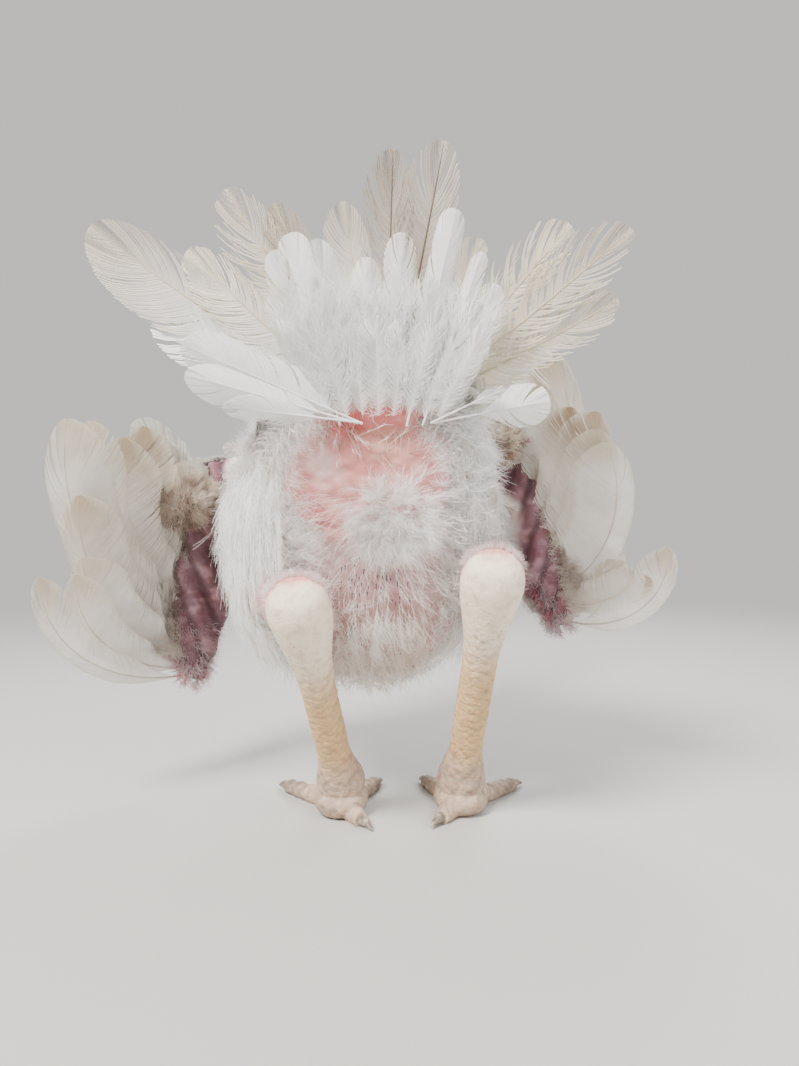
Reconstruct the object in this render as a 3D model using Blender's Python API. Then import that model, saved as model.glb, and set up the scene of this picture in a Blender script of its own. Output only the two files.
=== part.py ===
"""A life-size white Aseel fowl standing with its tail fanned up and both wings held open.

Metres, +Z up. The bird faces +Y, its right side is +X, and the floor is z = 0.
"""

import math
import random

import bmesh
import bpy
from mathutils import Matrix, Vector

# Fit and finish
GAP = 0.0003
SEED = 7
CUT_DEPTH = 0.02

# Torso: stations from rump to breast as (x, y, middle height, half width, half height). The bird
# is turned a little, so that its breast is left of its tail.
TORSO = [
    (0.004, -0.121, 0.232, 0.024, 0.020),
    (0.002, -0.112, 0.218, 0.047, 0.041),
    (-0.005, -0.090, 0.194, 0.067, 0.070),
    (-0.015, -0.050, 0.176, 0.081, 0.093),
    (-0.021, 0.000, 0.172, 0.086, 0.096),
    (-0.024, 0.050, 0.178, 0.081, 0.090),
    (-0.024, 0.092, 0.195, 0.064, 0.073),
    (-0.024, 0.122, 0.211, 0.041, 0.047),
    (-0.024, 0.134, 0.217, 0.018, 0.022),
]
BREAST_X = -0.024
TORSO_RINGS = 13
TORSO_SIDES = 22
TORSO_POWER = 2.25

# Neck: stations from the shoulders to the nape, over BREAST_X, as (y, z, half width, half height)
NECK = [
    (0.062, 0.212, 0.050, 0.046),
    (0.105, 0.246, 0.042, 0.040),
    (0.140, 0.283, 0.031, 0.031),
    (0.170, 0.318, 0.025, 0.026),
    (0.196, 0.345, 0.021, 0.023),
]
NECK_RINGS = 8
NECK_SIDES = 16
HACKLE_TIERS = 4
HACKLES_AROUND = 9
HACKLE_FIRST = 0.34
HACKLE_LAST = 0.93
HACKLE_LENGTH = 0.050
HACKLE_WIDTH = 0.0165
HACKLE_SINK = 0.0008
HACKLE_RISE = (0.10, 0.15)
HACKLE_CURL = (6, 12)

# Head: stations from nape to beak root, in a frame whose +Y is forwards and origin is mid skull
HEAD_PLACE = Vector((BREAST_X, 0.214, 0.357))
HEAD_PITCH = math.radians(-8)
SKULL = [
    (-0.030, -0.004, 0.0100, 0.0110),
    (-0.022, -0.001, 0.0165, 0.0170),
    (-0.008, 0.001, 0.0185, 0.0195),
    (0.006, 0.001, 0.0175, 0.0180),
    (0.018, -0.001, 0.0135, 0.0140),
    (0.026, -0.003, 0.0095, 0.0105),
]
SKULL_RINGS = 9
SKULL_SIDES = 18
EYE_AT = Vector((0.0150, 0.0040, 0.0040))
EYE_RADIUS = 0.0062
EYE_FLATNESS = 0.72
LID_RADIUS = 0.0064
LID_STAND = 0.0022
LID_RINGS = 12
LID_SIDES = 6
LID_THICK = 0.0013
BROW_THICK = 0.0024
BEAK_ROOT = 0.0205
BEAK_LENGTH = 0.0245
BEAK_WIDTH = 0.0085
BEAK_HEIGHT = 0.0112
BEAK_HOOK = 0.0078
BEAK_RINGS = 7
BEAK_SIDES = 10
BEAK_TIP = 0.0006
NOSTRIL_AT = Vector((0.0076, 0.0300, -0.0010))
NOSTRIL_SIZE = (0.0022, 0.0028, 0.0010)
NOSTRIL_TURN = math.radians(14)
JAW_SHORT = 0.0065
JAW_SLOPE = 0.0020
JAW_DEPTH = 0.0056
MOUTH_HEIGHT = -0.0068
COMB_ROWS = ((0.0, 0.0212, 5, 0.0043), (0.0058, 0.0176, 4, 0.0035))
COMB_FRONT = 0.0275
COMB_REAR = 0.001
COMB_DROP = 0.0125
COMB_NOTCH = 0.66
COMB_SIDES = 8
WATTLE_AT = Vector((0.0066, 0.0180, -0.0168))
WATTLE_SIZE = (0.0026, 0.0048, 0.0072)
EARLOBE_AT = Vector((0.0148, -0.0125, -0.0085))
EARLOBE_SIZE = (0.0026, 0.0048, 0.0066)
DEWLAP_AT = Vector((0, 0.004, -0.0175))
DEWLAP_SIZE = (0.0040, 0.0150, 0.0062)
BULB_RINGS = 4
BULB_SIDES = 8

# Legs: left and right stand a little differently, as places of knee, hock and foot
LEGS = {
    "left": {
        "side": -1,
        "hip": Vector((-0.072, 0.050, 0.162)),
        "knee": Vector((-0.076, 0.018, 0.146)),
        "hock": Vector((-0.044, -0.116, 0.132)),
        "foot": Vector((-0.028, -0.042, 0.022)),
        "heading": math.radians(-9),
    },
    "right": {
        "side": 1,
        "hip": Vector((0.042, 0.052, 0.168)),
        "knee": Vector((0.048, 0.022, 0.156)),
        "hock": Vector((0.057, -0.108, 0.146)),
        "foot": Vector((0.046, -0.038, 0.022)),
        "heading": math.radians(9),
    },
}
THIGH = ((0.0, 0.034), (0.35, 0.037), (0.55, 0.035), (0.78, 0.028), (1.0, 0.0175))
THIGH_DEEPER = 1.06
THIGH_SHORT = 0.014
THIGH_SIDES = 16
HOCK_WIDTH = 0.0170
HOCK_DEPTH = 0.0150
SHANK_WIDTH = 0.0096
SHANK_DEPTH = 0.0102
SHANK_SCUTES = 12
SHANK_SIDES = 10
SCUTE_STEP = 0.0009
SCUTES_FROM = 0.030
ANKLE_WIDTH = 0.0150

# Knuckle of the hock: how far it starts above the joint, then (distance, share of width, of depth)
KNUCKLE_ABOVE = 0.016
KNUCKLE = [
    (0.000, 0.55, 0.50),
    (0.005, 0.86, 0.84),
    (0.014, 1.00, 1.00),
    (0.024, 0.93, 0.94),
]

# Toes as (name, heading from the foot's own in degrees, length without claw, radius at the root)
TOES = [
    ("inner", 32, 0.050, 0.0070),
    ("middle", 0, 0.066, 0.0074),
    ("outer", -34, 0.054, 0.0070),
    ("back", 158, 0.026, 0.0068),
]
TOE_PADS = 4
TOE_SIDES = 8
TOE_SINK = 0.0013
TOE_LIFT = {"inner": 0.0125, "middle": 0.0125, "outer": 0.0125, "back": 0.0105}
TOE_START = 0.004
TOE_TAPER = 0.30
TOE_NECK = 0.88
CLAW_LENGTH = 0.0125
CLAW_WIDTH = 0.66
CLAW_RISE = 0.0012
CLAW_DROP = 0.0018
CLAW_TIP = 0.0004
CLAW_SIDES = 6
PAD_AT = Vector((0, 0.004, 0.0088))
PAD_SIZE = (0.0165, 0.0185, 0.0110)

# Tail: each main feather as (degrees from upright, positive to the right; length)
TAIL_ROOT = Vector((0.0, -0.116, 0.240))
TAIL_LEAN = math.radians(10)
RECTRICES = [
    (-69, 0.112),
    (-59, 0.162),
    (-50, 0.118),
    (-34, 0.128),
    (-26, 0.112),
    (-10, 0.104),
    (3, 0.128),
    (13, 0.134),
    (27, 0.100),
    (44, 0.122),
    (54, 0.142),
    (66, 0.116),
]
RECTRIX_WIDTH = 0.027
RECTRIX_LEAD = 0.42
RECTRIX_SPREAD = 0.022
RECTRIX_STEP = 0.0026
RECTRIX_SWEEP = 0.10
RECTRIX_CURLS = (math.radians(-6), math.radians(-3))
RUMP_SIZE = (0.034, 0.020, 0.018)
COVERT_TIERS = (
    {"count": 8, "spread": 150, "length": 0.082, "width": 0.025, "lift": -0.0100},
    {"count": 7, "spread": 120, "length": 0.058, "width": 0.022, "lift": -0.0165},
    {"count": 8, "spread": 128, "length": 0.078, "width": 0.022, "lift": 0.0100},
)

COVERT_SPREAD = 0.026
COVERT_STEP = 0.0024
COVERT_RISE = 0.16
COVERT_CURL = 10

# Wings: joints of each arm, then its main feathers. A primary is its share along the hand, start in
# degrees from upright, bend back towards upright in degrees, length and width. The secondaries
# have start, bend and length at the wrist and at the elbow.
WINGS = {
    "left": {
        "side": -1,
        "shoulder": Vector((-0.066, 0.070, 0.226)),
        "elbow": Vector((-0.126, 0.034, 0.208)),
        "wrist": Vector((-0.140, 0.046, 0.130)),
        "finger": Vector((-0.138, 0.032, 0.070)),
        "primaries": [
            (0.10, 60, 72, 0.150, 0.036),
            (0.24, 68, 80, 0.156, 0.040),
            (0.40, 67, 72, 0.184, 0.032),
            (0.55, 64, 62, 0.200, 0.036),
            (0.66, 69, 63, 0.160, 0.034),
            (0.80, 74, 60, 0.130, 0.032),
            (0.92, 88, 84, 0.130, 0.026),
            (1.00, 96, 92, 0.150, 0.022),
        ],
        "secondaries": ((50, 55, 0.104), (80, 50, 0.036)),
    },
    "right": {
        "side": 1,
        "shoulder": Vector((0.034, 0.070, 0.232)),
        "elbow": Vector((0.082, 0.030, 0.238)),
        "wrist": Vector((0.105, 0.042, 0.166)),
        "finger": Vector((0.122, 0.028, 0.108)),
        "primaries": [
            (0.06, 28, 26, 0.130, 0.030),
            (0.16, 42, 52, 0.160, 0.032),
            (0.27, 31, 16, 0.130, 0.030),
            (0.40, 40, 24, 0.140, 0.034),
            (0.52, 56, 58, 0.134, 0.036),
            (0.63, 63, 68, 0.134, 0.038),
            (0.88, 74, 20, 0.084, 0.026),
            (1.00, 99, 94, 0.112, 0.024),
        ],
        "secondaries": ((22, 20, 0.120), (34, 20, 0.034)),
    },
}
WING_YAW = math.radians(34)
WING_LEAN = math.radians(20)

# Flesh of the arms as (half width across the wing, half thickness)
ARM_FLESH = {
    "upper": ((0.0210, 0.0210), (0.0175, 0.0175), (0.0150, 0.0130)),
    "fore": ((0.0150, 0.0125), (0.0225, 0.0115), (0.0195, 0.0098)),
    "hand": ((0.0195, 0.0098), (0.0165, 0.0085), (0.0090, 0.0050)),
}
ARM_SIDES = 10
SHOULDER_SINK = Vector((0.015, 0, 0))
FLANK_AT = Vector((0.070, -0.012, -0.022))
FORE_WEB_SHARE = 0.52
FORE_WEB_AHEAD = Vector((0, 0.012, 0))
PRIMARY_LEAD = 0.32
SECONDARIES = 7
SECONDARY_WIDTH = 0.032
SECONDARY_LEAD = 0.42
FEATHER_STEP = 0.00075
FLIGHT_CURL = math.radians(24)
BEND_ALLOWANCE = 0.14
FLIGHT_ROLL = math.radians(5)
WEB_THICK = 0.0016

# Wing coverts as (count, rise, length, width, lift)
FOREARM_COVERTS = ((5, 0.10, 0.066, 0.026, 0.0062), (4, 0.20, 0.042, 0.024, 0.0088))
HAND_COVERTS = ((4, 0.14, 0.060, 0.022, 0.0070),)
WING_COVERT_STEP = 0.0011
WING_COVERT_TAPER = 0.15
WING_COVERT_CURL = math.radians(22)

# Feather sections
VANE_EDGE = 0.00032
VANE_SHAFT = 0.0010
VANE_TAPER = 0.45
VANE_CAMBER = 0.10
VANE_SHARES = [(0.0, 0.10), (0.20, 0.66), (0.55, 1.0), (0.86, 0.82), (1.0, 0.24)]
SMALL_SHARES = [(0.0, 0.20), (0.36, 0.92), (0.78, 0.90), (1.0, 0.28)]
SMALL_HALF_THICK = 0.00040

# Finishes as (base colour, roughness, metallic)
FINISHES = {
    "white_feather": ((0.82, 0.80, 0.76, 1.0), 0.75, 0.0),
    "flight_feather": ((0.78, 0.74, 0.66, 1.0), 0.65, 0.0),
    "red_skin": ((0.60, 0.10, 0.08, 1.0), 0.50, 0.0),
    "wing_skin": ((0.50, 0.30, 0.34, 1.0), 0.55, 0.0),
    "leg_scale": ((0.78, 0.66, 0.45, 1.0), 0.55, 0.0),
    "claw_horn": ((0.45, 0.38, 0.30, 1.0), 0.45, 0.0),
    "beak_horn": ((0.72, 0.58, 0.34, 1.0), 0.40, 0.0),
    "eye": ((0.70, 0.66, 0.56, 1.0), 0.10, 0.0),
}

rng = random.Random(SEED)


# Scene and materials


def clear_scene():
    for obj in list(bpy.data.objects):
        bpy.data.objects.remove(obj, do_unlink=True)


def make_materials():
    for name, (colour, roughness, metallic) in FINISHES.items():
        material = bpy.data.materials.new(name)
        material.use_nodes = True
        shader = material.node_tree.nodes["Principled BSDF"]
        shader.inputs["Base Color"].default_value = colour
        shader.inputs["Roughness"].default_value = roughness
        shader.inputs["Metallic"].default_value = metallic


# Mesh helpers


def mesh_object(name, points, faces):
    mesh = bpy.data.meshes.new(name)
    mesh.from_pydata([tuple(p) for p in points], [], faces)
    shape = bmesh.new()
    shape.from_mesh(mesh)
    bmesh.ops.recalc_face_normals(shape, faces=shape.faces)
    shape.to_mesh(mesh)
    shape.free()
    obj = bpy.data.objects.new(name, mesh)
    bpy.context.scene.collection.objects.link(obj)
    return obj


def loft(name, rings):
    """A closed body through rings of equally many points, each end closed by a fan."""
    sides = len(rings[0])
    points = [p for ring in rings for p in ring]
    faces = []
    for k in range(len(rings) - 1):
        for i in range(sides):
            j = (i + 1) % sides
            a, b = k * sides + i, k * sides + j
            c, d = a + sides, b + sides
            faces += [(a, b, d), (a, d, c)]
    for ring, start in ((rings[0], 0), (rings[-1], (len(rings) - 1) * sides)):
        middle = sum(ring, Vector()) / sides
        points.append(middle)
        hub = len(points) - 1
        faces += [(hub, start + i, start + (i + 1) % sides) for i in range(sides)]
    return mesh_object(name, points, faces)


def ring_at(centre, across, up, half_across, half_up, sides, power=2.0):
    ring = []
    for i in range(sides):
        angle = 2 * math.pi * (i + 0.5) / sides
        c, s = math.cos(angle), math.sin(angle)
        x = math.copysign(abs(c) ** (2 / power), c) * half_across
        z = math.copysign(abs(s) ** (2 / power), s) * half_up
        ring.append(centre + across * x + up * z)
    return ring


def smooth_read(stations, share):
    """A Catmull-Rom reading of a list of equal tuples, at a share from 0 to 1 of its length."""
    last = len(stations) - 1
    place = min(max(share * last, 0.0), last - 1e-9)
    k = int(place)
    t = place - k
    picked = [stations[min(max(k + step, 0), last)] for step in (-1, 0, 1, 2)]
    values = []
    for p0, p1, p2, p3 in zip(*picked):
        slope_1, slope_2 = (p2 - p0) / 2, (p3 - p1) / 2
        values.append(
            (2 * t**3 - 3 * t**2 + 1) * p1
            + (t**3 - 2 * t**2 + t) * slope_1
            + (3 * t**2 - 2 * t**3) * p2
            + (t**3 - t**2) * slope_2
        )
    return values


def tube(name, path, sizes, sides, grow=0.0, hint=Vector((0, 0, 1))):
    """A closed round or oval tube. sizes are (half across, half up) at each path point."""
    rings = []
    for i, centre in enumerate(path):
        ahead = path[min(i + 1, len(path) - 1)] - path[max(i - 1, 0)]
        ahead.normalize()
        across = ahead.cross(hint).normalized()
        up = across.cross(ahead).normalized()
        stretch = grow * (-1 if i == 0 else 1 if i == len(path) - 1 else 0)
        half_across, half_up = sizes[i]
        middle = centre + ahead * stretch
        rings.append(ring_at(middle, across, up, half_across + grow, half_up + grow, sides))
    return loft(name, rings)


def ball(name, centre, size, turn=None, detail=2, grow=0.0):
    shape = bmesh.new()
    bmesh.ops.create_icosphere(shape, subdivisions=detail, radius=1.0)
    scale = Matrix.Diagonal((size[0] + grow, size[1] + grow, size[2] + grow, 1.0))
    place = Matrix.Translation(centre) @ (turn or Matrix.Identity(4)) @ scale
    bmesh.ops.transform(shape, matrix=place, verts=shape.verts)
    mesh = bpy.data.meshes.new(name)
    shape.to_mesh(mesh)
    shape.free()
    obj = bpy.data.objects.new(name, mesh)
    bpy.context.scene.collection.objects.link(obj)
    return obj


def box(name, low, high):
    points = [(x, y, z) for x in (low[0], high[0]) for y in (low[1], high[1]) for z in (low[2], high[2])]
    faces = [(0, 1, 3, 2), (4, 6, 7, 5), (0, 4, 5, 1), (2, 3, 7, 6), (0, 2, 6, 4), (1, 5, 7, 3)]
    return mesh_object(name, points, faces)


def bulb(name, centre, size, turn, grow=0.0):
    """A small smooth drop of flesh, rings stacked along its own Z."""
    rings = []
    for i in range(BULB_RINGS + 1):
        angle = math.pi * (0.08 + 0.84 * i / BULB_RINGS)
        wide = math.sin(angle)
        middle = centre + turn @ Vector((0, 0, -math.cos(angle) * (size[2] + grow)))
        rings.append(ring_at(middle, turn @ Vector((1, 0, 0)), turn @ Vector((0, 1, 0)),
                             size[0] * wide + grow, size[1] * wide + grow, BULB_SIDES))
    return loft(name, rings)


def shaft_line(root, along, normal, length, shares, sweep=0.0, curl=0.0, roll=0.0, grow=0.0):
    """Places along a bent shaft, as (place, side, top) at each share of its length.

    sweep bends the shaft within the blade's plane, curl bends it towards its under side,
    and roll turns the blade.
    """
    ahead = along.normalized()
    top = (normal - ahead * normal.dot(ahead)).normalized()
    top = Matrix.Rotation(roll, 3, ahead) @ top
    place = root - ahead * grow
    line = []
    before = 0.0
    for share in shares:
        step = share - before
        ahead = Matrix.Rotation(sweep * step, 3, top) @ ahead
        side = ahead.cross(top).normalized()
        bend = Matrix.Rotation(-curl * step, 3, side)
        ahead = bend @ ahead
        top = bend @ top
        place = place + ahead * (length * step + (grow * 2 if share == shares[-1] else 0))
        before = share
        line.append((place, side, top))
    return line


def strip_faces(stations, across):
    """Triangles of a closed strip: rows of top points, then rows of bottom points, split alike."""
    low = stations * across
    faces = []
    for k in range(stations - 1):
        a, b = across * k, across * (k + 1)
        for i in range(across - 1):
            faces += [(a + i, a + i + 1, b + i + 1), (a + i, b + i + 1, b + i)]
            faces += [(low + a + i + 1, low + a + i, low + b + i + 1),
                      (low + b + i + 1, low + a + i, low + b + i)]
        for i in (0, across - 1):
            faces += [(a + i, b + i, low + b + i), (a + i, low + b + i, low + a + i)]
    for a in (0, across * (stations - 1)):
        for i in range(across - 1):
            faces += [(a + i, low + a + i, low + a + i + 1), (a + i, low + a + i + 1, a + i + 1)]
    return faces


def vane(name, root, along, normal, length, lead, trail, sweep=0.0, curl=0.0, roll=0.0, grow=0.0):
    """One main feather: a cambered blade that falls away on both sides of a raised shaft."""
    shares = [share for share, _ in VANE_SHARES]
    line = shaft_line(root, along, normal, length, shares, sweep, curl, roll, grow)
    tops, bottoms = [], []
    for (share, width), (place, side, top) in zip(VANE_SHARES, line):
        shaft = VANE_SHAFT * (1.0 - VANE_TAPER * share) + grow
        edge = VANE_EDGE + grow
        for rows, sign in ((tops, 1), (bottoms, -1)):
            left = place - side * (lead * width + grow) - top * (VANE_CAMBER * lead * width - sign * edge)
            right = place + side * (trail * width + grow) - top * (VANE_CAMBER * trail * width - sign * edge)
            rows += [left, place + top * sign * shaft, right]
    return mesh_object(name, tops + bottoms, strip_faces(len(line), 3))


def small_vane(name, root, along, normal, length, width, curl=0.0, grow=0.0):
    """One covert or hackle: a flat tapered blade."""
    shares = [share for share, _ in SMALL_SHARES]
    line = shaft_line(root, along, normal, length, shares, curl=curl, grow=grow)
    tops, bottoms = [], []
    for (_, wide), (place, side, top) in zip(SMALL_SHARES, line):
        reach = side * (width / 2 * wide + grow)
        thick = top * (SMALL_HALF_THICK + grow)
        tops += [place - reach + thick, place + reach + thick]
        bottoms += [place - reach - thick, place + reach - thick]
    return mesh_object(name, tops + bottoms, strip_faces(len(line), 2))


# Fusing, cutting and naming


def gathered(pieces):
    group = bpy.data.collections.new("fused_pieces")
    bpy.context.scene.collection.children.link(group)
    for piece in pieces:
        bpy.context.scene.collection.objects.unlink(piece)
        group.objects.link(piece)
    return group


def combine(obj, pieces, operation):
    """Joins the pieces to obj, or cuts them from it, and removes them."""
    if not pieces:
        return
    group = gathered(pieces)
    modifier = obj.modifiers.new(operation.lower(), "BOOLEAN")
    modifier.operation = operation
    modifier.operand_type = "COLLECTION"
    modifier.collection = group
    modifier.solver = "MANIFOLD"
    bpy.context.view_layer.update()
    graph = bpy.context.evaluated_depsgraph_get()
    made = bpy.data.meshes.new_from_object(obj.evaluated_get(graph))
    obj.modifiers.clear()
    obj.data = made
    for piece in pieces:
        bpy.data.objects.remove(piece, do_unlink=True)
    bpy.data.collections.remove(group)


def keep_largest(obj):
    """Leaves only the closed surface that holds the most volume."""
    shape = bmesh.new()
    shape.from_mesh(obj.data)
    bmesh.ops.triangulate(shape, faces=shape.faces)
    shape.faces.ensure_lookup_table()
    unseen = set(shape.faces)
    islands = []
    while unseen:
        stack = [unseen.pop()]
        island = list(stack)
        while stack:
            face = stack.pop()
            for edge in face.edges:
                for other in edge.link_faces:
                    if other in unseen:
                        unseen.discard(other)
                        stack.append(other)
                        island.append(other)
        islands.append(island)

    def held(island):
        total = 0.0
        for face in island:
            a, b, c = (v.co for v in face.verts)
            total += a.dot(b.cross(c)) / 6
        return total

    islands.sort(key=held)
    for island in islands[:-1]:
        bmesh.ops.delete(shape, geom=island, context="FACES")
    loose = [v for v in shape.verts if not v.link_faces]
    bmesh.ops.delete(shape, geom=loose, context="VERTS")
    shape.to_mesh(obj.data)
    shape.free()


def node(name, pieces, finish, cutters=()):
    """One named solid: the pieces fused, the cutters taken away, the largest body kept."""
    obj = pieces[0]
    obj.name = name
    obj.data.name = name
    combine(obj, pieces[1:], "UNION")
    combine(obj, list(cutters), "DIFFERENCE")
    keep_largest(obj)
    obj.data.materials.clear()
    obj.data.materials.append(bpy.data.materials[finish])
    obj.data.shade_smooth()
    obj.data.set_sharp_from_angle(angle=math.radians(38))
    return obj


# Torso and neck


def torso_shape(grow=0.0):
    rings = []
    for i in range(TORSO_RINGS):
        x, y, z, half_width, half_height = smooth_read(TORSO, i / (TORSO_RINGS - 1))
        y += grow * (-1 if i == 0 else 1 if i == TORSO_RINGS - 1 else 0)
        rings.append(
            ring_at(Vector((x, y, z)), Vector((1, 0, 0)), Vector((0, 0, 1)),
                    half_width + grow, half_height + grow, TORSO_SIDES, TORSO_POWER)
        )
    return loft("torso_core", rings)


def neck_rows():
    return [smooth_read(NECK, i / (NECK_RINGS - 1)) for i in range(NECK_RINGS)]


def neck_shape(grow=0.0):
    rows = neck_rows()
    path = [Vector((BREAST_X, y, z)) for y, z, _, _ in rows]
    sizes = [(half_width, half_height) for _, _, half_width, half_height in rows]
    return tube("neck_core", path, sizes, NECK_SIDES, grow)


def neck_surface(share, angle):
    """A point on the neck's surface and the way straight out of it. Angle 0 is the nape."""
    y, z, half_width, half_height = smooth_read(NECK, share)
    y2, z2, _, _ = smooth_read(NECK, share - 0.04)
    back = Vector((0, y2 - y, z2 - z)).normalized()
    across = Vector((1, 0, 0))
    up = across.cross(back)
    out = across * math.sin(angle) + up * math.cos(angle)
    reach = 1 / math.hypot(math.sin(angle) / half_width, math.cos(angle) / half_height)
    return Vector((BREAST_X, y, z)) + out * reach, out


def hackles():
    """Tiers of narrow pointed feathers that lie back along the neck, each over the next lower."""
    made = []
    for tier in range(HACKLE_TIERS):
        share = HACKLE_FIRST + (HACKLE_LAST - HACKLE_FIRST) * tier / (HACKLE_TIERS - 1)
        count = HACKLES_AROUND - tier
        for i in range(count):
            angle = 2 * math.pi * (i + 0.5 * (tier % 2)) / count
            root, out = neck_surface(share, angle)
            lower, _ = neck_surface(share - 0.12, angle)
            lie = (lower - root).normalized() + out * rng.uniform(*HACKLE_RISE)
            length = HACKLE_LENGTH * (1.0 - 0.06 * tier) * rng.uniform(0.92, 1.08)
            made.append(
                small_vane(f"hackle_{tier}_{i}", root - out * HACKLE_SINK, lie, out, length, HACKLE_WIDTH,
                           curl=math.radians(rng.uniform(*HACKLE_CURL)))
            )
    return made


# Head


def head_matrix():
    return Matrix.Translation(HEAD_PLACE) @ Matrix.Rotation(HEAD_PITCH, 4, "X")


def on_side(place, side):
    """A place in the head's frame, mirrored to the given side and put into the bird's."""
    return head_matrix() @ Vector((side * place.x, place.y, place.z))


def skull_shape(grow=0.0):
    place = head_matrix()
    rings = []
    for i in range(SKULL_RINGS):
        y, z, half_width, half_height = smooth_read(SKULL, i / (SKULL_RINGS - 1))
        ring = ring_at(Vector((0, y, z)), Vector((1, 0, 0)), Vector((0, 0, 1)),
                       half_width + grow, half_height + grow, SKULL_SIDES)
        rings.append([place @ p for p in ring])
    return loft("skull", rings)


def eye_ball(side, grow=0.0):
    centre = on_side(EYE_AT, side)
    flat = (EYE_RADIUS * EYE_FLATNESS, EYE_RADIUS, EYE_RADIUS)
    return ball("eye_ball", centre, flat, head_matrix().to_3x3().to_4x4(), 2, grow)


def lid_ring(side):
    """The rim of bare lid round the eye, thicker above as a brow."""
    place = head_matrix()
    rings = []
    for i in range(LID_RINGS):
        angle = 2 * math.pi * i / LID_RINGS
        out = Vector((0, math.cos(angle), math.sin(angle)))
        thick = LID_THICK + (BROW_THICK - LID_THICK) * max(0.0, math.sin(angle + 0.3)) ** 2
        centre = Vector((side * (EYE_AT.x + LID_STAND), EYE_AT.y, EYE_AT.z)) + out * LID_RADIUS
        ring = ring_at(centre, Vector((side, 0, 0)), out, thick * 1.2, thick, LID_SIDES)
        rings.append([place @ p for p in ring])
    points = [p for ring in rings for p in ring]
    faces = []
    for k in range(LID_RINGS):
        start, after = k * LID_SIDES, (k + 1) % LID_RINGS * LID_SIDES
        for i in range(LID_SIDES):
            j = (i + 1) % LID_SIDES
            faces += [(start + i, start + j, after + j), (start + i, after + j, after + i)]
    return mesh_object("lid", points, faces)


def beak_half(name, lower, grow=0.0):
    """The upper half hooks down over the lower. They meet along the line of the mouth."""
    place = head_matrix()
    rings = []
    for i in range(BEAK_RINGS):
        share = i / (BEAK_RINGS - 1)
        if lower:
            half_width = BEAK_WIDTH * 0.86 * (1 - share) ** 0.6 + BEAK_TIP
            deep = JAW_DEPTH * (1 - share) ** 0.7 + BEAK_TIP
            top = MOUTH_HEIGHT - GAP - JAW_SLOPE * share
            y = BEAK_ROOT + share * (BEAK_LENGTH - JAW_SHORT)
        else:
            half_width = BEAK_WIDTH * (1 - share**1.7) + BEAK_TIP
            deep = BEAK_HEIGHT * (1 - share**2.0) + BEAK_TIP
            top = MOUTH_HEIGHT + deep - BEAK_HOOK * share**2.4
            y = BEAK_ROOT + BEAK_LENGTH * math.sin(share * math.pi * 0.5) ** 0.9
        ring = ring_at(Vector((0, y, top - deep / 2)), Vector((1, 0, 0)), Vector((0, 0, 1)),
                       half_width + grow, deep / 2 + grow, BEAK_SIDES, 2.6)
        rings.append([place @ p for p in ring])
    return loft(name, rings)


def nostril(side):
    turn = head_matrix().to_3x3().to_4x4() @ Matrix.Rotation(NOSTRIL_TURN, 4, "X")
    return ball("nostril", on_side(NOSTRIL_AT, side), NOSTRIL_SIZE, turn, 1)


def comb_row(offset, height, beads, radius, grow=0.0):
    """One row of the pea comb: a low ridge beaded along its top."""
    place = head_matrix()
    steps = 2 * beads + 1
    rings = []
    for i in range(steps):
        share = i / (steps - 1)
        y = COMB_REAR + (COMB_FRONT - COMB_REAR) * share
        drop = COMB_DROP * share**2.2
        bead = 1.0 if i % 2 else COMB_NOTCH
        swell = bead * (0.55 + 0.45 * math.sin(math.pi * share)) * radius
        ring = ring_at(Vector((offset, y, height - drop)), Vector((1, 0, 0)), Vector((0, 0, 1)),
                       swell + grow, swell * 1.35 + grow, COMB_SIDES)
        rings.append([place @ p for p in ring])
    return loft("comb_row", rings)


def head_pieces(grow=0.0):
    turn = head_matrix().to_3x3()
    pieces = [skull_shape(grow)]
    for side in (-1, 1):
        pieces.append(lid_ring(side))
        pieces.append(bulb("earlobe", on_side(EARLOBE_AT, side), EARLOBE_SIZE, turn, grow))
        pieces.append(bulb("wattle", on_side(WATTLE_AT, side), WATTLE_SIZE, turn, grow))
    pieces.append(bulb("dewlap", on_side(DEWLAP_AT, 1), DEWLAP_SIZE, turn, grow))
    return pieces


def comb_pieces(grow=0.0):
    offset, height, beads, radius = COMB_ROWS[1]
    rows = [comb_row(*COMB_ROWS[0], grow)]
    return rows + [comb_row(side * offset, height, beads, radius, grow) for side in (-1, 1)]


def make_head():
    cutters = [eye_ball(-1, GAP), eye_ball(1, GAP)]
    cutters += [beak_half("cut", False, GAP), beak_half("cut", True, GAP)] + comb_pieces(GAP)
    node("head", head_pieces(), "red_skin", cutters)
    node("beak_upper", [beak_half("beak", False)], "beak_horn", [nostril(-1), nostril(1)])
    node("beak_lower", [beak_half("beak", True)], "beak_horn", [beak_half("cut", False, GAP)])
    node("comb", comb_pieces(), "red_skin", [beak_half("cut", False, GAP)])
    for label, side in (("left", -1), ("right", 1)):
        node(f"eye_{label}", [eye_ball(side)], "eye")


# Legs


def thigh_shape(leg, grow=0.0):
    end = leg["hock"] + (leg["knee"] - leg["hock"]).normalized() * THIGH_SHORT
    ends = [tuple(leg["hip"]), tuple(leg["knee"]), tuple(end)]
    path = [Vector(smooth_read(ends, share)) for share, _ in THIGH]
    sizes = [(radius, radius * THIGH_DEEPER) for _, radius in THIGH]
    return tube("thigh_core", path, sizes, THIGH_SIDES, grow)


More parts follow.
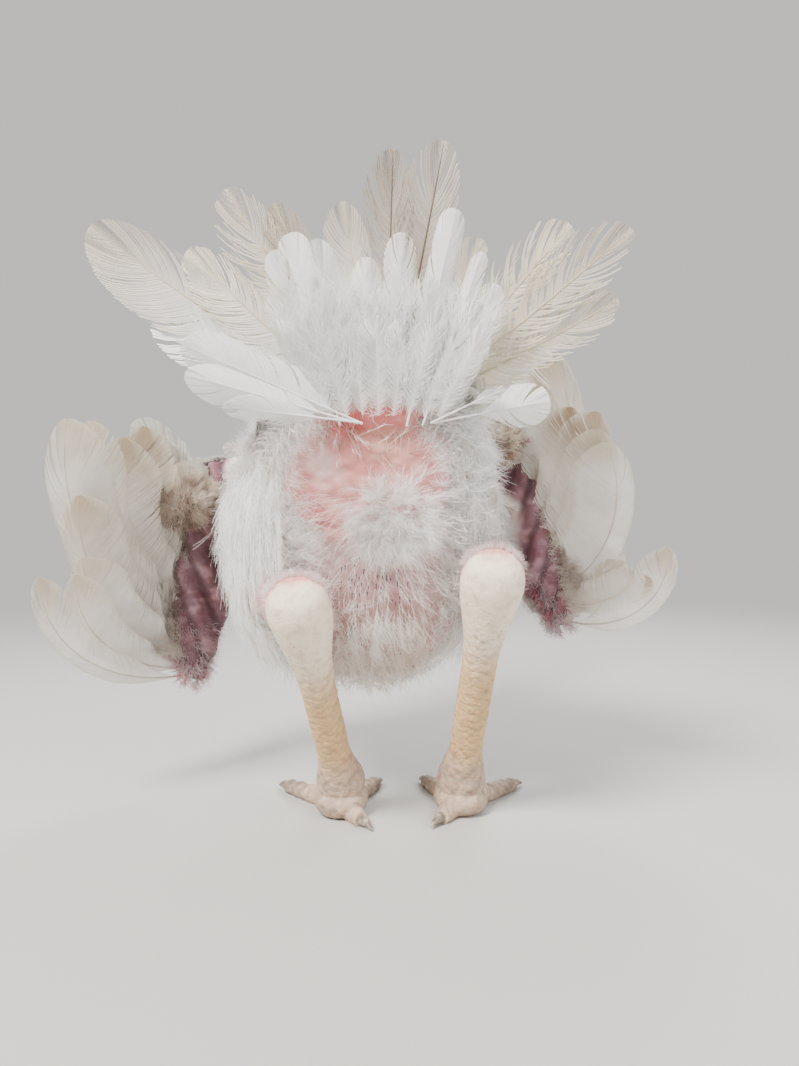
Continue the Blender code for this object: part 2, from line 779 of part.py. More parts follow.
def shank_rings(leg, grow=0.0):
    """Hock knuckle, then a shank whose broad scutes each overlap the next lower one."""
    start, end = leg["hock"], leg["foot"]
    ahead = (end - start).normalized()
    across = Vector((1, 0, 0))
    up = across.cross(ahead).normalized()
    across = ahead.cross(up).normalized()
    head = start - ahead * KNUCKLE_ABOVE
    rings = [(head + ahead * along, HOCK_WIDTH * wide, HOCK_DEPTH * deep) for along, wide, deep in KNUCKLE]
    length = (end - head).length
    for i in range(SHANK_SCUTES):
        for part, step in ((0.04, 0.0), (0.94, SCUTE_STEP)):
            share = (i + part) / SHANK_SCUTES
            along = SCUTES_FROM + (length - SCUTES_FROM) * share
            neck = max(0.0, 1 - share / 0.22)
            flare = max(0.0, (share - 0.78) / 0.22) ** 1.5
            wide = SHANK_WIDTH + (HOCK_WIDTH - SHANK_WIDTH) * 0.75 * neck**1.4
            wide += (ANKLE_WIDTH - SHANK_WIDTH) * flare
            deep = SHANK_DEPTH + (HOCK_DEPTH - SHANK_DEPTH) * 0.70 * neck**1.4
            rings.append((head + ahead * along, wide + step, deep + step))
    return [
        ring_at(centre, across, up, wide + grow, deep + grow, SHANK_SIDES)
        for centre, wide, deep in rings
    ]


def toe_path(leg, toe):
    name, angle, length, radius = toe
    heading = leg["heading"] + leg["side"] * math.radians(-angle)
    out = Vector((math.sin(heading), math.cos(heading), 0))
    base = Vector((leg["foot"].x, leg["foot"].y + PAD_AT.y, 0))
    path, sizes = [], []
    count = 2 * TOE_PADS + 1
    for i in range(count):
        share = i / (count - 1)
        pad = 1.0 if i % 2 == 0 else TOE_NECK
        size = radius * (1 - TOE_TAPER * share) * pad
        drop = max(0.0, 1 - share / 0.45) ** 1.5
        height = size - TOE_SINK + TOE_LIFT[name] * drop
        along = TOE_START + (length - TOE_START) * share
        path.append(base + out * along + Vector((0, 0, height)))
        sizes.append((size, size))
    return path, sizes, out


def toe_shape(leg, toe, grow=0.0):
    path, sizes, _ = toe_path(leg, toe)
    return tube("toe", path, sizes, TOE_SIDES, grow)


def claw_shape(leg, toe):
    path, sizes, out = toe_path(leg, toe)
    radius = sizes[-1][0] * CLAW_WIDTH
    start = path[-1] + out * (GAP * 1.2)
    claw_path, claw_sizes = [], []
    for i in range(5):
        share = i / 4
        arch = CLAW_RISE * math.sin(share * math.pi) - CLAW_DROP * share
        claw_path.append(start + out * CLAW_LENGTH * share + Vector((0, 0, arch)))
        claw_sizes.append((radius * (1 - share) ** 0.75 + CLAW_TIP,) * 2)
    return tube("claw", claw_path, claw_sizes, CLAW_SIDES)


def floor_cut():
    return box("floor_cut", (-0.3, -0.3, -CUT_DEPTH), (0.3, 0.3, 0.0))


def make_leg(label, leg):
    node(f"thigh_{label}", [thigh_shape(leg)], "white_feather", [torso_shape(GAP)])
    shank = loft("shank", shank_rings(leg))
    node(f"shank_{label}", [shank], "leg_scale", [thigh_shape(leg, GAP)])
    pad = ball("pad", Vector((leg["foot"].x, leg["foot"].y, 0)) + PAD_AT, PAD_SIZE, None, 2)
    pieces = [pad] + [toe_shape(leg, toe) for toe in TOES]
    cutters = [loft("cut", shank_rings(leg, GAP)), floor_cut()]
    node(f"foot_{label}", pieces, "leg_scale", cutters)
    for toe in TOES:
        node(f"claw_{label}_{toe[0]}", [claw_shape(leg, toe)], "claw_horn", [floor_cut()])


# Tail


def tail_frame():
    """Unit vectors of the fan: across to the right, up along its middle, and out of its top face."""
    across = Vector((1, 0, 0))
    up = Vector((0, -math.sin(TAIL_LEAN), math.cos(TAIL_LEAN)))
    face = across.cross(up) * -1
    return across, up, face


def make_tail():
    across, up, face = tail_frame()
    pieces = [ball("rump", TAIL_ROOT, RUMP_SIZE, Matrix.Rotation(TAIL_LEAN, 4, "X"), 2)]
    for i, (angle, length) in enumerate(RECTRICES):
        turn = math.radians(angle)
        along = up * math.cos(turn) + across * math.sin(turn)
        root = TAIL_ROOT + across * math.sin(turn) * RECTRIX_SPREAD + face * (i % 2 - 0.5) * RECTRIX_STEP
        lead = RECTRIX_WIDTH * RECTRIX_LEAD
        pieces.append(
            vane(f"rectrix_{i}", root, along, face, length, lead, RECTRIX_WIDTH - lead,
                 sweep=-turn * RECTRIX_SWEEP, curl=RECTRIX_CURLS[i % 2])
        )
    for tier, plan in enumerate(COVERT_TIERS):
        for i in range(plan["count"]):
            turn = math.radians(plan["spread"]) * ((i + 0.5) / plan["count"] - 0.5)
            turn += math.radians(rng.uniform(-3, 3))
            along = up * math.cos(turn) + across * math.sin(turn)
            along += face * math.copysign(COVERT_RISE, plan["lift"])
            lift = plan["lift"] + (i % 2 - 0.5) * COVERT_STEP
            root = TAIL_ROOT + across * math.sin(turn) * COVERT_SPREAD + face * lift
            pieces.append(
                small_vane(f"covert_{tier}_{i}", root, along, face, plan["length"] * rng.uniform(0.9, 1.08),
                           plan["width"], curl=math.radians(math.copysign(COVERT_CURL, plan["lift"])))
            )
    node("tail", pieces, "flight_feather", [torso_shape(GAP)])


# Wings


def wing_frame(wing):
    """Unit vectors of the open wing: outwards, up along its middle, and out of its upper face."""
    side = wing["side"]
    face = Vector((side * math.sin(WING_YAW), math.cos(WING_YAW), math.sin(WING_LEAN))).normalized()
    out = Vector((side * math.cos(WING_YAW), -math.sin(WING_YAW), 0)).normalized()
    up = face.cross(out).normalized()
    if up.z < 0:
        up = -up
    return out, up, face


def limb(name, start, end, flesh, face, grow=0.0):
    """One part of the arm, oval across the wing."""
    path = [start.lerp(end, i / (len(flesh) - 1)) for i in range(len(flesh))]
    return tube(name, path, flesh, ARM_SIDES, grow, face)


def web(name, corners, face, grow=0.0):
    """A fold of skin across three corners."""
    thick = WEB_THICK + grow
    middle = sum(corners, Vector()) / 3
    spread = [c + (c - middle).normalized() * grow for c in corners]
    points = [c + face * thick for c in spread] + [c - face * thick for c in spread]
    faces = [(0, 1, 2), (5, 4, 3), (0, 3, 4), (0, 4, 1), (1, 4, 5), (1, 5, 2), (2, 5, 3), (2, 3, 0)]
    return mesh_object(name, points, faces)


def arm_pieces(wing, grow=0.0):
    _, _, face = wing_frame(wing)
    side, shoulder = wing["side"], wing["shoulder"]
    flank = Vector((BREAST_X + side * FLANK_AT.x, FLANK_AT.y, shoulder.z + FLANK_AT.z))
    inner = shoulder - side * SHOULDER_SINK
    front = shoulder.lerp(wing["wrist"], FORE_WEB_SHARE) + FORE_WEB_AHEAD
    return [
        limb("upper_arm", inner, wing["elbow"], ARM_FLESH["upper"], face, grow),
        web("rear_web", [inner, wing["elbow"], flank], face, grow),
        web("fore_web", [shoulder, wing["elbow"], front], face, grow),
    ]


def flight_feather(wing, kind, i):
    """Where one main wing feather goes, from its number along the hand or forearm."""
    out, up, face = wing_frame(wing)
    side = wing["side"]
    if kind == "primary":
        share, start, bend, length, width = wing["primaries"][i]
        root = wing["wrist"].lerp(wing["finger"], share)
        lead, stack = width * PRIMARY_LEAD, i + 0.5
    else:
        share = (i + 0.5) / SECONDARIES
        root = wing["wrist"].lerp(wing["elbow"], share)
        start, bend, length = (a + (b - a) * share for a, b in zip(*wing["secondaries"]))
        width = SECONDARY_WIDTH
        lead, stack = width * SECONDARY_LEAD, -(i + 0.5)
    # A shaft of few straight steps turns early, so it starts a little further out
    angle = math.radians(start + bend * BEND_ALLOWANCE)
    return {
        "name": f"{kind}_{i}",
        "root": root + face * (stack * FEATHER_STEP),
        "along": up * math.cos(angle) + out * math.sin(angle),
        "normal": face,
        "length": length,
        "lead": lead if side > 0 else width - lead,
        "trail": width - lead if side > 0 else lead,
        "sweep": -math.radians(bend) * side,
        "curl": FLIGHT_CURL,
        "roll": side * FLIGHT_ROLL,
    }


def chord_angle(start, bend):
    """The direction from a bent feather's root to its tip, in degrees from upright."""
    return start - bend / 2


def covert_feathers(wing, start, end, rows, swing, grow=0.0):
    """Rows of coverts on the upper face, over the roots of the flight feathers."""
    out, up, face = wing_frame(wing)
    made = []
    for count, rise, length, width, lift in rows:
        for i in range(count):
            share = (i + 0.5) / count
            root = start.lerp(end, share) + face * (lift + (i % 2) * WING_COVERT_STEP)
            angle = math.radians(swing[0] + (swing[1] - swing[0]) * share)
            along = up * math.cos(angle) + out * math.sin(angle) + face * rise
            made.append(
                small_vane("wing_covert", root, along, face, length * (1 - WING_COVERT_TAPER * share), width,
                           curl=WING_COVERT_CURL, grow=grow)
            )
    return made


def forearm_pieces(wing, grow=0.0):
    face = wing_frame(wing)[2]
    pieces = [limb("forearm", wing["elbow"], wing["wrist"], ARM_FLESH["fore"], face, grow)]
    pieces += [vane(**flight_feather(wing, "secondary", i), grow=grow) for i in range(SECONDARIES)]
    swing = [chord_angle(start, bend) for start, bend, _ in wing["secondaries"]]
    return pieces + covert_feathers(wing, wing["wrist"], wing["elbow"], FOREARM_COVERTS, swing, grow)


def hand_pieces(wing, grow=0.0):
    face = wing_frame(wing)[2]
    ends = (wing["primaries"][0], wing["primaries"][-1])
    swing = [chord_angle(start, bend) for _, start, bend, _, _ in ends]
    pieces = [limb("hand", wing["wrist"], wing["finger"], ARM_FLESH["hand"], face, grow)]
    pieces += [vane(**flight_feather(wing, "primary", i), grow=grow) for i in range(len(wing["primaries"]))]
    return pieces + covert_feathers(wing, wing["wrist"], wing["finger"], HAND_COVERTS, swing, grow)


def make_wing(label, wing):
    node(f"wing_{label}_arm", arm_pieces(wing), "wing_skin", [torso_shape(GAP)])
    cutters = arm_pieces(wing, GAP) + [torso_shape(GAP)]
    node(f"wing_{label}_forearm", forearm_pieces(wing), "flight_feather", cutters)
    cutters = forearm_pieces(wing, GAP)
    node(f"wing_{label}_hand", hand_pieces(wing), "flight_feather", cutters)


# Whole bird


def rest_on_origin():
    """Moves every mesh so that the middle of the whole footprint box is at x = y = 0."""
    bodies = [obj for obj in bpy.context.scene.collection.all_objects if obj.type == "MESH"]
    corners = [v.co for obj in bodies for v in obj.data.vertices]
    low = Vector(min(c[i] for c in corners) for i in range(3))
    high = Vector(max(c[i] for c in corners) for i in range(3))
    shift = Vector((-(low.x + high.x) / 2, -(low.y + high.y) / 2, 0))
    for obj in bodies:
        obj.data.transform(Matrix.Translation(shift))


def main():
    clear_scene()
    make_materials()
    node("torso", [torso_shape()], "white_feather")
    arms = [piece for wing in WINGS.values() for piece in arm_pieces(wing, GAP)]
    cutters = [torso_shape(GAP)] + head_pieces(GAP) + arms
    node("neck", [neck_shape()] + hackles(), "white_feather", cutters)
    make_head()
    for label, leg in LEGS.items():
        make_leg(label, leg)
    make_tail()
    for label, wing in WINGS.items():
        make_wing(label, wing)
    rest_on_origin()


main()
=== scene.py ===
"""Dresses the Aseel fowl: one skin, its coat of feathers, scaled legs, head, eyes, floor and light.

Metres. Places are worked out in the bird's own frame, whose x = 0 goes through the tail's root and
whose floor is z = 0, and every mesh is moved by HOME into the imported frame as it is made.
"""

import math

import bmesh
import bpy
import numpy as np
from mathutils import Matrix, Vector
from mathutils.bvhtree import BVHTree


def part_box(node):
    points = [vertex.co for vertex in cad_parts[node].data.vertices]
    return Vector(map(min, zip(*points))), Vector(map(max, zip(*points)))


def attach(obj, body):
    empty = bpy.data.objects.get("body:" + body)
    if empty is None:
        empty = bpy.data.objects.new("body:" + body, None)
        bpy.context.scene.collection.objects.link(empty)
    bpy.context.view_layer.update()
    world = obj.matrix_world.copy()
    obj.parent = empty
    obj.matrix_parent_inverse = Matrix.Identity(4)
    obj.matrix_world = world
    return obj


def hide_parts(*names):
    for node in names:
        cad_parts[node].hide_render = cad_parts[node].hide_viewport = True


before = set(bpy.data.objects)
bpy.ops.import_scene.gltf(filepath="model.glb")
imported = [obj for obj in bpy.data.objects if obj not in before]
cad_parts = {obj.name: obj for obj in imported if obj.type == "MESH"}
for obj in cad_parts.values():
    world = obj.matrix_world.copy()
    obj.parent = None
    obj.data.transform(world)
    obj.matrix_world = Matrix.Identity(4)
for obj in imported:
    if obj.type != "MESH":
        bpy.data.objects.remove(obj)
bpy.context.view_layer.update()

# Camera: a phone's view from behind, level with the body
PHOTO = (799, 1066)
PHOTO_FOCAL = 800
SENSOR = 36.0
CAMERA_AT = (0.008, -0.530, 0.172)

# Body lofts as rows of (x, y, z, half width, half height)
TORSO = [
    (0.004, -0.121, 0.232, 0.024, 0.020),
    (0.002, -0.112, 0.218, 0.047, 0.041),
    (-0.005, -0.090, 0.194, 0.067, 0.070),
    (-0.015, -0.050, 0.176, 0.081, 0.093),
    (-0.021, 0.000, 0.172, 0.086, 0.096),
    (-0.024, 0.050, 0.178, 0.081, 0.090),
    (-0.024, 0.092, 0.195, 0.064, 0.073),
    (-0.024, 0.122, 0.211, 0.041, 0.047),
    (-0.024, 0.134, 0.217, 0.018, 0.022),
]
BREAST_X = -0.024
NECK = [
    (BREAST_X, 0.062, 0.212, 0.050, 0.046),
    (BREAST_X, 0.105, 0.246, 0.042, 0.040),
    (BREAST_X, 0.140, 0.283, 0.031, 0.031),
    (BREAST_X, 0.170, 0.318, 0.025, 0.026),
    (BREAST_X, 0.196, 0.345, 0.021, 0.023),
]
HEAD_AT = (BREAST_X, 0.214, 0.357)
HEAD_PITCH = math.radians(-8)
SKULL = [
    (0, -0.030, -0.004, 0.0100, 0.0110),
    (0, -0.022, -0.001, 0.0165, 0.0170),
    (0, -0.008, 0.001, 0.0185, 0.0195),
    (0, 0.006, 0.001, 0.0175, 0.0180),
    (0, 0.018, -0.001, 0.0135, 0.0140),
    (0, 0.026, -0.003, 0.0095, 0.0105),
]
LEGS = {
    "left": {
        "side": -1, "hip": (-0.072, 0.050, 0.162), "knee": (-0.076, 0.018, 0.146),
        "hock": (-0.044, -0.116, 0.132), "foot": (-0.028, -0.042, 0.022), "heading": -9,
    },
    "right": {
        "side": 1, "hip": (0.042, 0.052, 0.168), "knee": (0.048, 0.022, 0.156),
        "hock": (0.057, -0.108, 0.146), "foot": (0.046, -0.038, 0.022), "heading": 9,
    },
}
TOES = [("inner", 32, 0.050, 0.0070), ("middle", 0, 0.066, 0.0074), ("outer", -34, 0.054, 0.0070),
        ("back", 158, 0.026, 0.0068)]
# Joints of each arm, then its main feathers. A primary is its share along the hand, start and bend in
# degrees, length, width and how stained its tip is. The secondaries have start, bend and length
# at the wrist and at the elbow. The stained fluff has its middle and its size.
WINGS = {
    "left": {
        "side": -1, "shoulder": (-0.066, 0.070, 0.226), "elbow": (-0.126, 0.034, 0.208),
        "wrist": (-0.140, 0.046, 0.130), "finger": (-0.138, 0.032, 0.070),
        "primaries": [
            (0.10, 60, 72, 0.150, 0.036, 0.8),
            (0.24, 68, 80, 0.156, 0.040, 0.6),
            (0.40, 67, 72, 0.184, 0.032, 0.1),
            (0.55, 64, 62, 0.200, 0.036, 0.2),
            (0.66, 69, 63, 0.160, 0.034, 0.6),
            (0.80, 74, 60, 0.130, 0.032, 0.2),
            (0.92, 88, 84, 0.130, 0.026, 0.4),
            (1.00, 96, 92, 0.150, 0.022, 0.5),
        ],
        "secondaries": ((50, 55, 0.104), (80, 50, 0.036)), "fluff": (-0.140, 0.006, 0.196, 1.0),
    },
    "right": {
        "side": 1, "shoulder": (0.034, 0.070, 0.232), "elbow": (0.082, 0.030, 0.238),
        "wrist": (0.105, 0.042, 0.166), "finger": (0.122, 0.028, 0.108),
        "primaries": [
            (0.06, 28, 26, 0.130, 0.030, 0.2),
            (0.16, 42, 52, 0.160, 0.032, 0.7),
            (0.27, 31, 16, 0.130, 0.030, 0.9),
            (0.40, 40, 24, 0.140, 0.034, 0.8),
            (0.52, 56, 58, 0.134, 0.036, 0.2),
            (0.63, 63, 68, 0.134, 0.038, 0.0),
            (0.88, 74, 20, 0.084, 0.026, 0.6),
            (1.00, 99, 94, 0.112, 0.024, 0.5),
        ],
        "secondaries": ((22, 20, 0.120), (34, 20, 0.034)), "fluff": (0.078, 0.012, 0.236, 0.6),
    },
}
WING_YAW = math.radians(34)
WING_LEAN = math.radians(20)
SECONDARIES = 9
SECONDARY_WIDTH = 0.032
FLIGHT_CURL = math.radians(30)
FEATHER_STEP = 0.00075
ARM_FLESH = {
    "upper": ((0.0190, 0.0190), (0.0160, 0.0160), (0.0140, 0.0120)),
    "fore": ((0.0140, 0.0115), (0.0220, 0.0100), (0.0190, 0.0088)),
    "hand": ((0.0190, 0.0098), (0.0180, 0.0088), (0.0150, 0.0075), (0.0040, 0.0030)),
    "inner": ((0.0130, 0.0110), (0.0150, 0.0090), (0.0120, 0.0075)),
    "palm": ((0.0120, 0.0075), (0.0110, 0.0065), (0.0080, 0.0050), (0.0030, 0.0025)),
}
TAIL_ROOT = (0.0, -0.116, 0.240)
TAIL_LEAN = math.radians(10)

# Each eye is as far ahead of mid skull as it is above it
EYE_OFFSET = 0.0040
EYE_SIZE = (0.0045, 0.0061, 0.0061)
BEAK_HALF = 0.0085
COMB_BACK = 0.001
COMB_LENGTH = 0.0265
COMB_FALL = 0.0125

# The move from the bird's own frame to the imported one, read off the middle of its two eyes
eye_low, eye_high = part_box("eye_left")[0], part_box("eye_right")[1]
eye_y = HEAD_AT[1] + EYE_OFFSET * (math.cos(HEAD_PITCH) - math.sin(HEAD_PITCH))
HOME = np.array([(eye_low[0] + eye_high[0]) / 2 - HEAD_AT[0], (eye_low[1] + eye_high[1]) / 2 - eye_y, 0.0])

# Grain of the fused skins, and how deep the flesh lies below the outline of the solids
SKIN_VOXEL = 0.0018
LEG_VOXEL = 0.00078
HEAD_VOXEL = 0.00060
THIGH_INSET = 0.007
NECK_INSET = 0.006

# Lowest place of legs and claws over the floor, how far the foot's pad is ahead of the shank, and the
# rings of scales along shank and toes
CLEARANCE = 0.0001
PAD_AHEAD = 0.004
SHANK_RING = 0.0058
TOE_RING = 0.0046

# Coat
BODY_X = -0.021
BAKE_PATCH = 0.003
STRIPS_ROOM = 64
MOST_TRIANGLES = 190000
VENT_AT = np.array([-0.008, -0.10, 0.203])
VENT_HALF = np.array([0.049, 0.060, 0.040])
TUFT_AT = (0.005, 0.178)
COAT_DEPTH = 0.008
ROOT_DEPTH = 0.002

# Linear colours
WHITE = (0.80, 0.775, 0.74)
CREAM = (0.72, 0.64, 0.50)
TAN = (0.40, 0.26, 0.14)
TAUPE = (0.30, 0.23, 0.17)
GREY_BEIGE = (0.50, 0.44, 0.36)
SHAFT_CREAM = (0.70, 0.60, 0.44)
SHAFT_DARK = (0.12, 0.075, 0.05)
PINK = (0.68, 0.27, 0.26)
PALE_PINK = (0.70, 0.45, 0.41)
RED = (0.60, 0.08, 0.07)
MAUVE = (0.20, 0.10, 0.13)
FACE_RED = (0.50, 0.075, 0.055)
CAP_CREAM = (0.86, 0.74, 0.58)
SHANK_YELLOW = (0.62, 0.41, 0.20)
FOOT_BEIGE = (0.52, 0.38, 0.28)
DIRT = (0.17, 0.13, 0.105)
FLUFF = (0.92, 0.91, 0.90)
BACKDROP = (0.74, 0.725, 0.70, 1)

rng = np.random.default_rng(11)


# Arithmetic on arrays


def unit(v):
    v = np.asarray(v, float)
    return v / np.maximum(np.linalg.norm(v, axis=-1, keepdims=True), 1e-12)


def smooth(value, low, high):
    t = np.clip((value - low) / (high - low), 0, 1)
    return t * t * (3 - 2 * t)


def mix(a, b, t):
    t = np.asarray(t)[..., None]
    return np.asarray(a) * (1 - t) + np.asarray(b) * t


def layered(colour, *coats):
    """A colour under coats of (colour, strength), the last of them on top."""
    for tone, strength in coats:
        colour = mix(colour, tone, strength)
    return colour


def turned(up, aside, angle):
    """The direction at an angle from up towards aside, or one for each of many angles."""
    angle = np.asarray(angle)[..., None]
    return up * np.cos(angle) + aside * np.sin(angle)


def read_rows(rows, share):
    """A Catmull-Rom reading of rows of numbers at shares from 0 to 1."""
    rows = np.asarray(rows, float)
    last = len(rows) - 1
    place = np.clip(np.asarray(share, float) * last, 0, last - 1e-9)
    k = place.astype(int)
    t = (place - k)[..., None]
    p0, p1, p2, p3 = (rows[np.clip(k + step, 0, last)] for step in (-1, 0, 1, 2))
    return ((2 * t**3 - 3 * t**2 + 1) * p1 + (t**3 - 2 * t**2 + t) * (p2 - p0) / 2
            + (3 * t**2 - 2 * t**3) * p2 + (t**3 - t**2) * (p3 - p1) / 2)


def wander(points, scale, seed, octaves=3):
    """Smooth noise from -1 to 1 at points, as a sum of turned sine waves."""
    draw = np.random.default_rng(seed)
    total = np.zeros(len(points))
    weight = 0.0
    for octave in range(octaves):
        for _ in range(4):
            wave = unit(draw.normal(size=3)) * (2 * math.pi / scale) * 1.9**octave * draw.uniform(0.7, 1.3)
            total += np.sin(points @ wave + draw.uniform(0, 2 * math.pi)) * 0.6**octave
            weight += 0.5 * 0.6 ** (2 * octave)
    return total / math.sqrt(weight) / 1.6


def squarish(wave, power):
    """Sines or cosines that draw a squarer oval the larger the power is, and a round one at 2."""
    return np.sign(wave) * np.abs(wave) ** (2 / power)


def tube(rows, hint=(0, 0, 1), power=2.0, steady=None):
    """The surface of a tube through rows of (x, y, z, half across, half up).

    It is read at shares of its length and at angles, which go from its upper side to the right.
    steady gives the same tangent to every ring.
    """
    def at(share, angle):
        share, angle = np.broadcast_arrays(np.asarray(share, float), np.asarray(angle, float))
        read = read_rows(rows, share)
        if steady is None:
            step = 0.01
            ahead = read_rows(rows, np.minimum(share + step, 1))[..., :3]
            ahead = unit(ahead - read_rows(rows, np.maximum(share - step, 0))[..., :3])
        else:
            ahead = np.broadcast_to(np.asarray(steady, float), read.shape[:-1] + (3,))
        across = unit(np.cross(ahead, hint))
        up = unit(np.cross(across, ahead))
        s, c = squarish(np.sin(angle), power), squarish(np.cos(angle), power)
        return read[..., :3] + across * (s * read[..., 3])[..., None] + up * (c * read[..., 4])[..., None]
    return at


torso_at = tube(TORSO, power=2.25, steady=(0, 1, 0))
neck_at = tube(NECK)


def surface_frame(surface, share, angle):
    """Places on a surface with its outward normals and the direction of falling share."""
    step_share, step_angle = 0.004, 0.01
    here = surface(share, angle)
    behind, ahead = np.clip(share - step_share, 0, 1), np.clip(share + step_share, 0, 1)
    along = surface(behind, angle) - surface(ahead, angle)
    around = surface(share, angle + step_angle) - surface(share, angle - step_angle)
    normal = unit(np.cross(along, around))
    return here, normal, unit(along)


def scattered(rows, columns, low, high):
    """Staggered shares and angles over a loft, each moved at random by part of a step."""
    jitter = 0.38
    i, j = np.meshgrid(np.arange(rows), np.arange(columns), indexing="ij")
    share = low + (high - low) * (i + 0.5 + rng.uniform(-jitter, jitter, i.shape)) / rows
    angle = 2 * math.pi * (j + 0.5 * (i % 2) + rng.uniform(-jitter, jitter, i.shape)) / columns
    return share.ravel(), angle.ravel()


# Meshes


def link(mesh, name):
    obj = bpy.data.objects.new(name, mesh)
    bpy.context.scene.collection.objects.link(obj)
    return obj


def array_mesh(name, points, faces, colours, uvs):
    """A mesh from arrays of points and triangles, with point colours and corner UVs."""
    mesh = bpy.data.meshes.new(name)
    points = np.asarray(points, np.float32) + HOME.astype(np.float32)
    faces = np.asarray(faces, np.int32)
    mesh.vertices.add(len(points))
    mesh.vertices.foreach_set("co", points.ravel())
    mesh.loops.add(faces.size)
    mesh.loops.foreach_set("vertex_index", faces.ravel())
    mesh.polygons.add(len(faces))
    mesh.polygons.foreach_set("loop_start", np.arange(0, faces.size, 3, dtype=np.int32))
    mesh.polygons.foreach_set("loop_total", np.full(len(faces), 3, np.int32))
    mesh.update(calc_edges=True)
    mesh.shade_smooth()
    paint(mesh, colours)
    layer = mesh.uv_layers.new(name="OFBake")
    layer.data.foreach_set("uv", np.asarray(uvs, np.float32)[faces.ravel()].ravel())
    return link(mesh, name)


def paint(mesh, colours):
    layer = mesh.color_attributes.new("Col", "FLOAT_COLOR", "POINT")
    four = np.ones((len(mesh.vertices), 4), np.float32)
    four[:, :3] = np.clip(colours, 0, 1)
    layer.data.foreach_set("color", four.ravel())


def mesh_arrays(mesh):
    """Places of a mesh's points in the bird's frame, and their normals."""
    found = []
    for source, key in ((mesh.vertices, "co"), (mesh.vertex_normals, "vector")):
        values = np.empty(len(source) * 3, np.float32)
        source.foreach_get(key, values)
        found.append(values.reshape(-1, 3).astype(float))
    return found[0] - HOME, found[1]


def set_points(mesh, points):
    mesh.vertices.foreach_set("co", (points + HOME).astype(np.float32).ravel())
    mesh.update()


def smooth_object(name, shape):
    """An object from a finished bmesh, which is freed."""
    mesh = bpy.data.meshes.new(name)
    shape.to_mesh(mesh)
    shape.free()
    mesh.shade_smooth()
    return link(mesh, name)


def gathered(parts):
    """One bmesh with the meshes of some objects, which are removed."""
    shape = bmesh.new()
    for part in parts:
        shape.from_mesh(part.data)
        bpy.data.objects.remove(part, do_unlink=True)
    return shape


def tube_mesh(name, grid):
    """A closed tube from an array of rings of points, its ends closed by fans."""
    rings, sides, _ = grid.shape
    points = np.concatenate([grid.reshape(-1, 3), grid[0].mean(0)[None], grid[-1].mean(0)[None]])
    shape = bmesh.new()
    verts = [shape.verts.new(p + HOME) for p in points]
    for first in range(0, (rings - 1) * sides, sides):
        for i in range(sides):
            a, b = first + i, first + (i + 1) % sides
            shape.faces.new((verts[a], verts[a + sides], verts[b + sides], verts[b]))
    for hub, first in ((len(points) - 2, 0), (len(points) - 1, (rings - 1) * sides)):
        for i in range(sides):
            shape.faces.new((verts[hub], verts[first + i], verts[first + (i + 1) % sides]))
    bmesh.ops.recalc_face_normals(shape, faces=shape.faces)
    return smooth_object(name, shape)


def loft(name, surface, rings, sides):
    share = np.linspace(0, 1, rings)[:, None]
    angle = np.linspace(0, 2 * math.pi, sides, endpoint=False)[None, :]
    return tube_mesh(name, surface(share, angle))


def blob(name, centre, size, turn=None, detail=3):
    shape = bmesh.new()
    bmesh.ops.create_icosphere(shape, subdivisions=detail, radius=1.0)
    place = Matrix.Translation(Vector(HOME) + Vector(centre)) @ (turn or Matrix.Identity(4))
    bmesh.ops.transform(shape, matrix=place @ Matrix.Diagonal((*size, 1.0)), verts=shape.verts)
    return smooth_object(name, shape)


def fused(name, parts, voxel, soften):
    """Joins parts and remeshes them into one closed skin, softened a little at the joins."""
    obj = smooth_object(name, gathered(parts))
    remesh = obj.modifiers.new("remesh", "REMESH")
    remesh.mode = "VOXEL"
    remesh.voxel_size = voxel
    smoother = obj.modifiers.new("soften", "SMOOTH")
    smoother.factor = 0.5
    smoother.iterations = soften
    bpy.context.view_layer.update()
    graph = bpy.context.evaluated_depsgraph_get()
    made = bpy.data.meshes.new_from_object(obj.evaluated_get(graph))
    obj.modifiers.clear()
    obj.data = made
    made.name = name
    made.shade_smooth()
    return obj


# Feather templates: points are (u along, v across, w lift in metres, tone, offset across in metres,
# share out along the barb), in triangles


def strips(rows_left, rows_right):
    """Ribbons between two lists of points: arrays of shape (ribbons, stations, 6)."""
    ribbons, stations, _ = rows_left.shape
    points = np.stack([rows_left, rows_right], 2).reshape(-1, 6)
    r, k = np.meshgrid(np.arange(ribbons), np.arange(stations - 1), indexing="ij")
    a = (r * stations + k) * 2
    faces = np.stack([np.stack([a, a + 2, a + 3], -1), np.stack([a, a + 3, a + 1], -1)], -2)
    return points, faces.reshape(-1, 3)


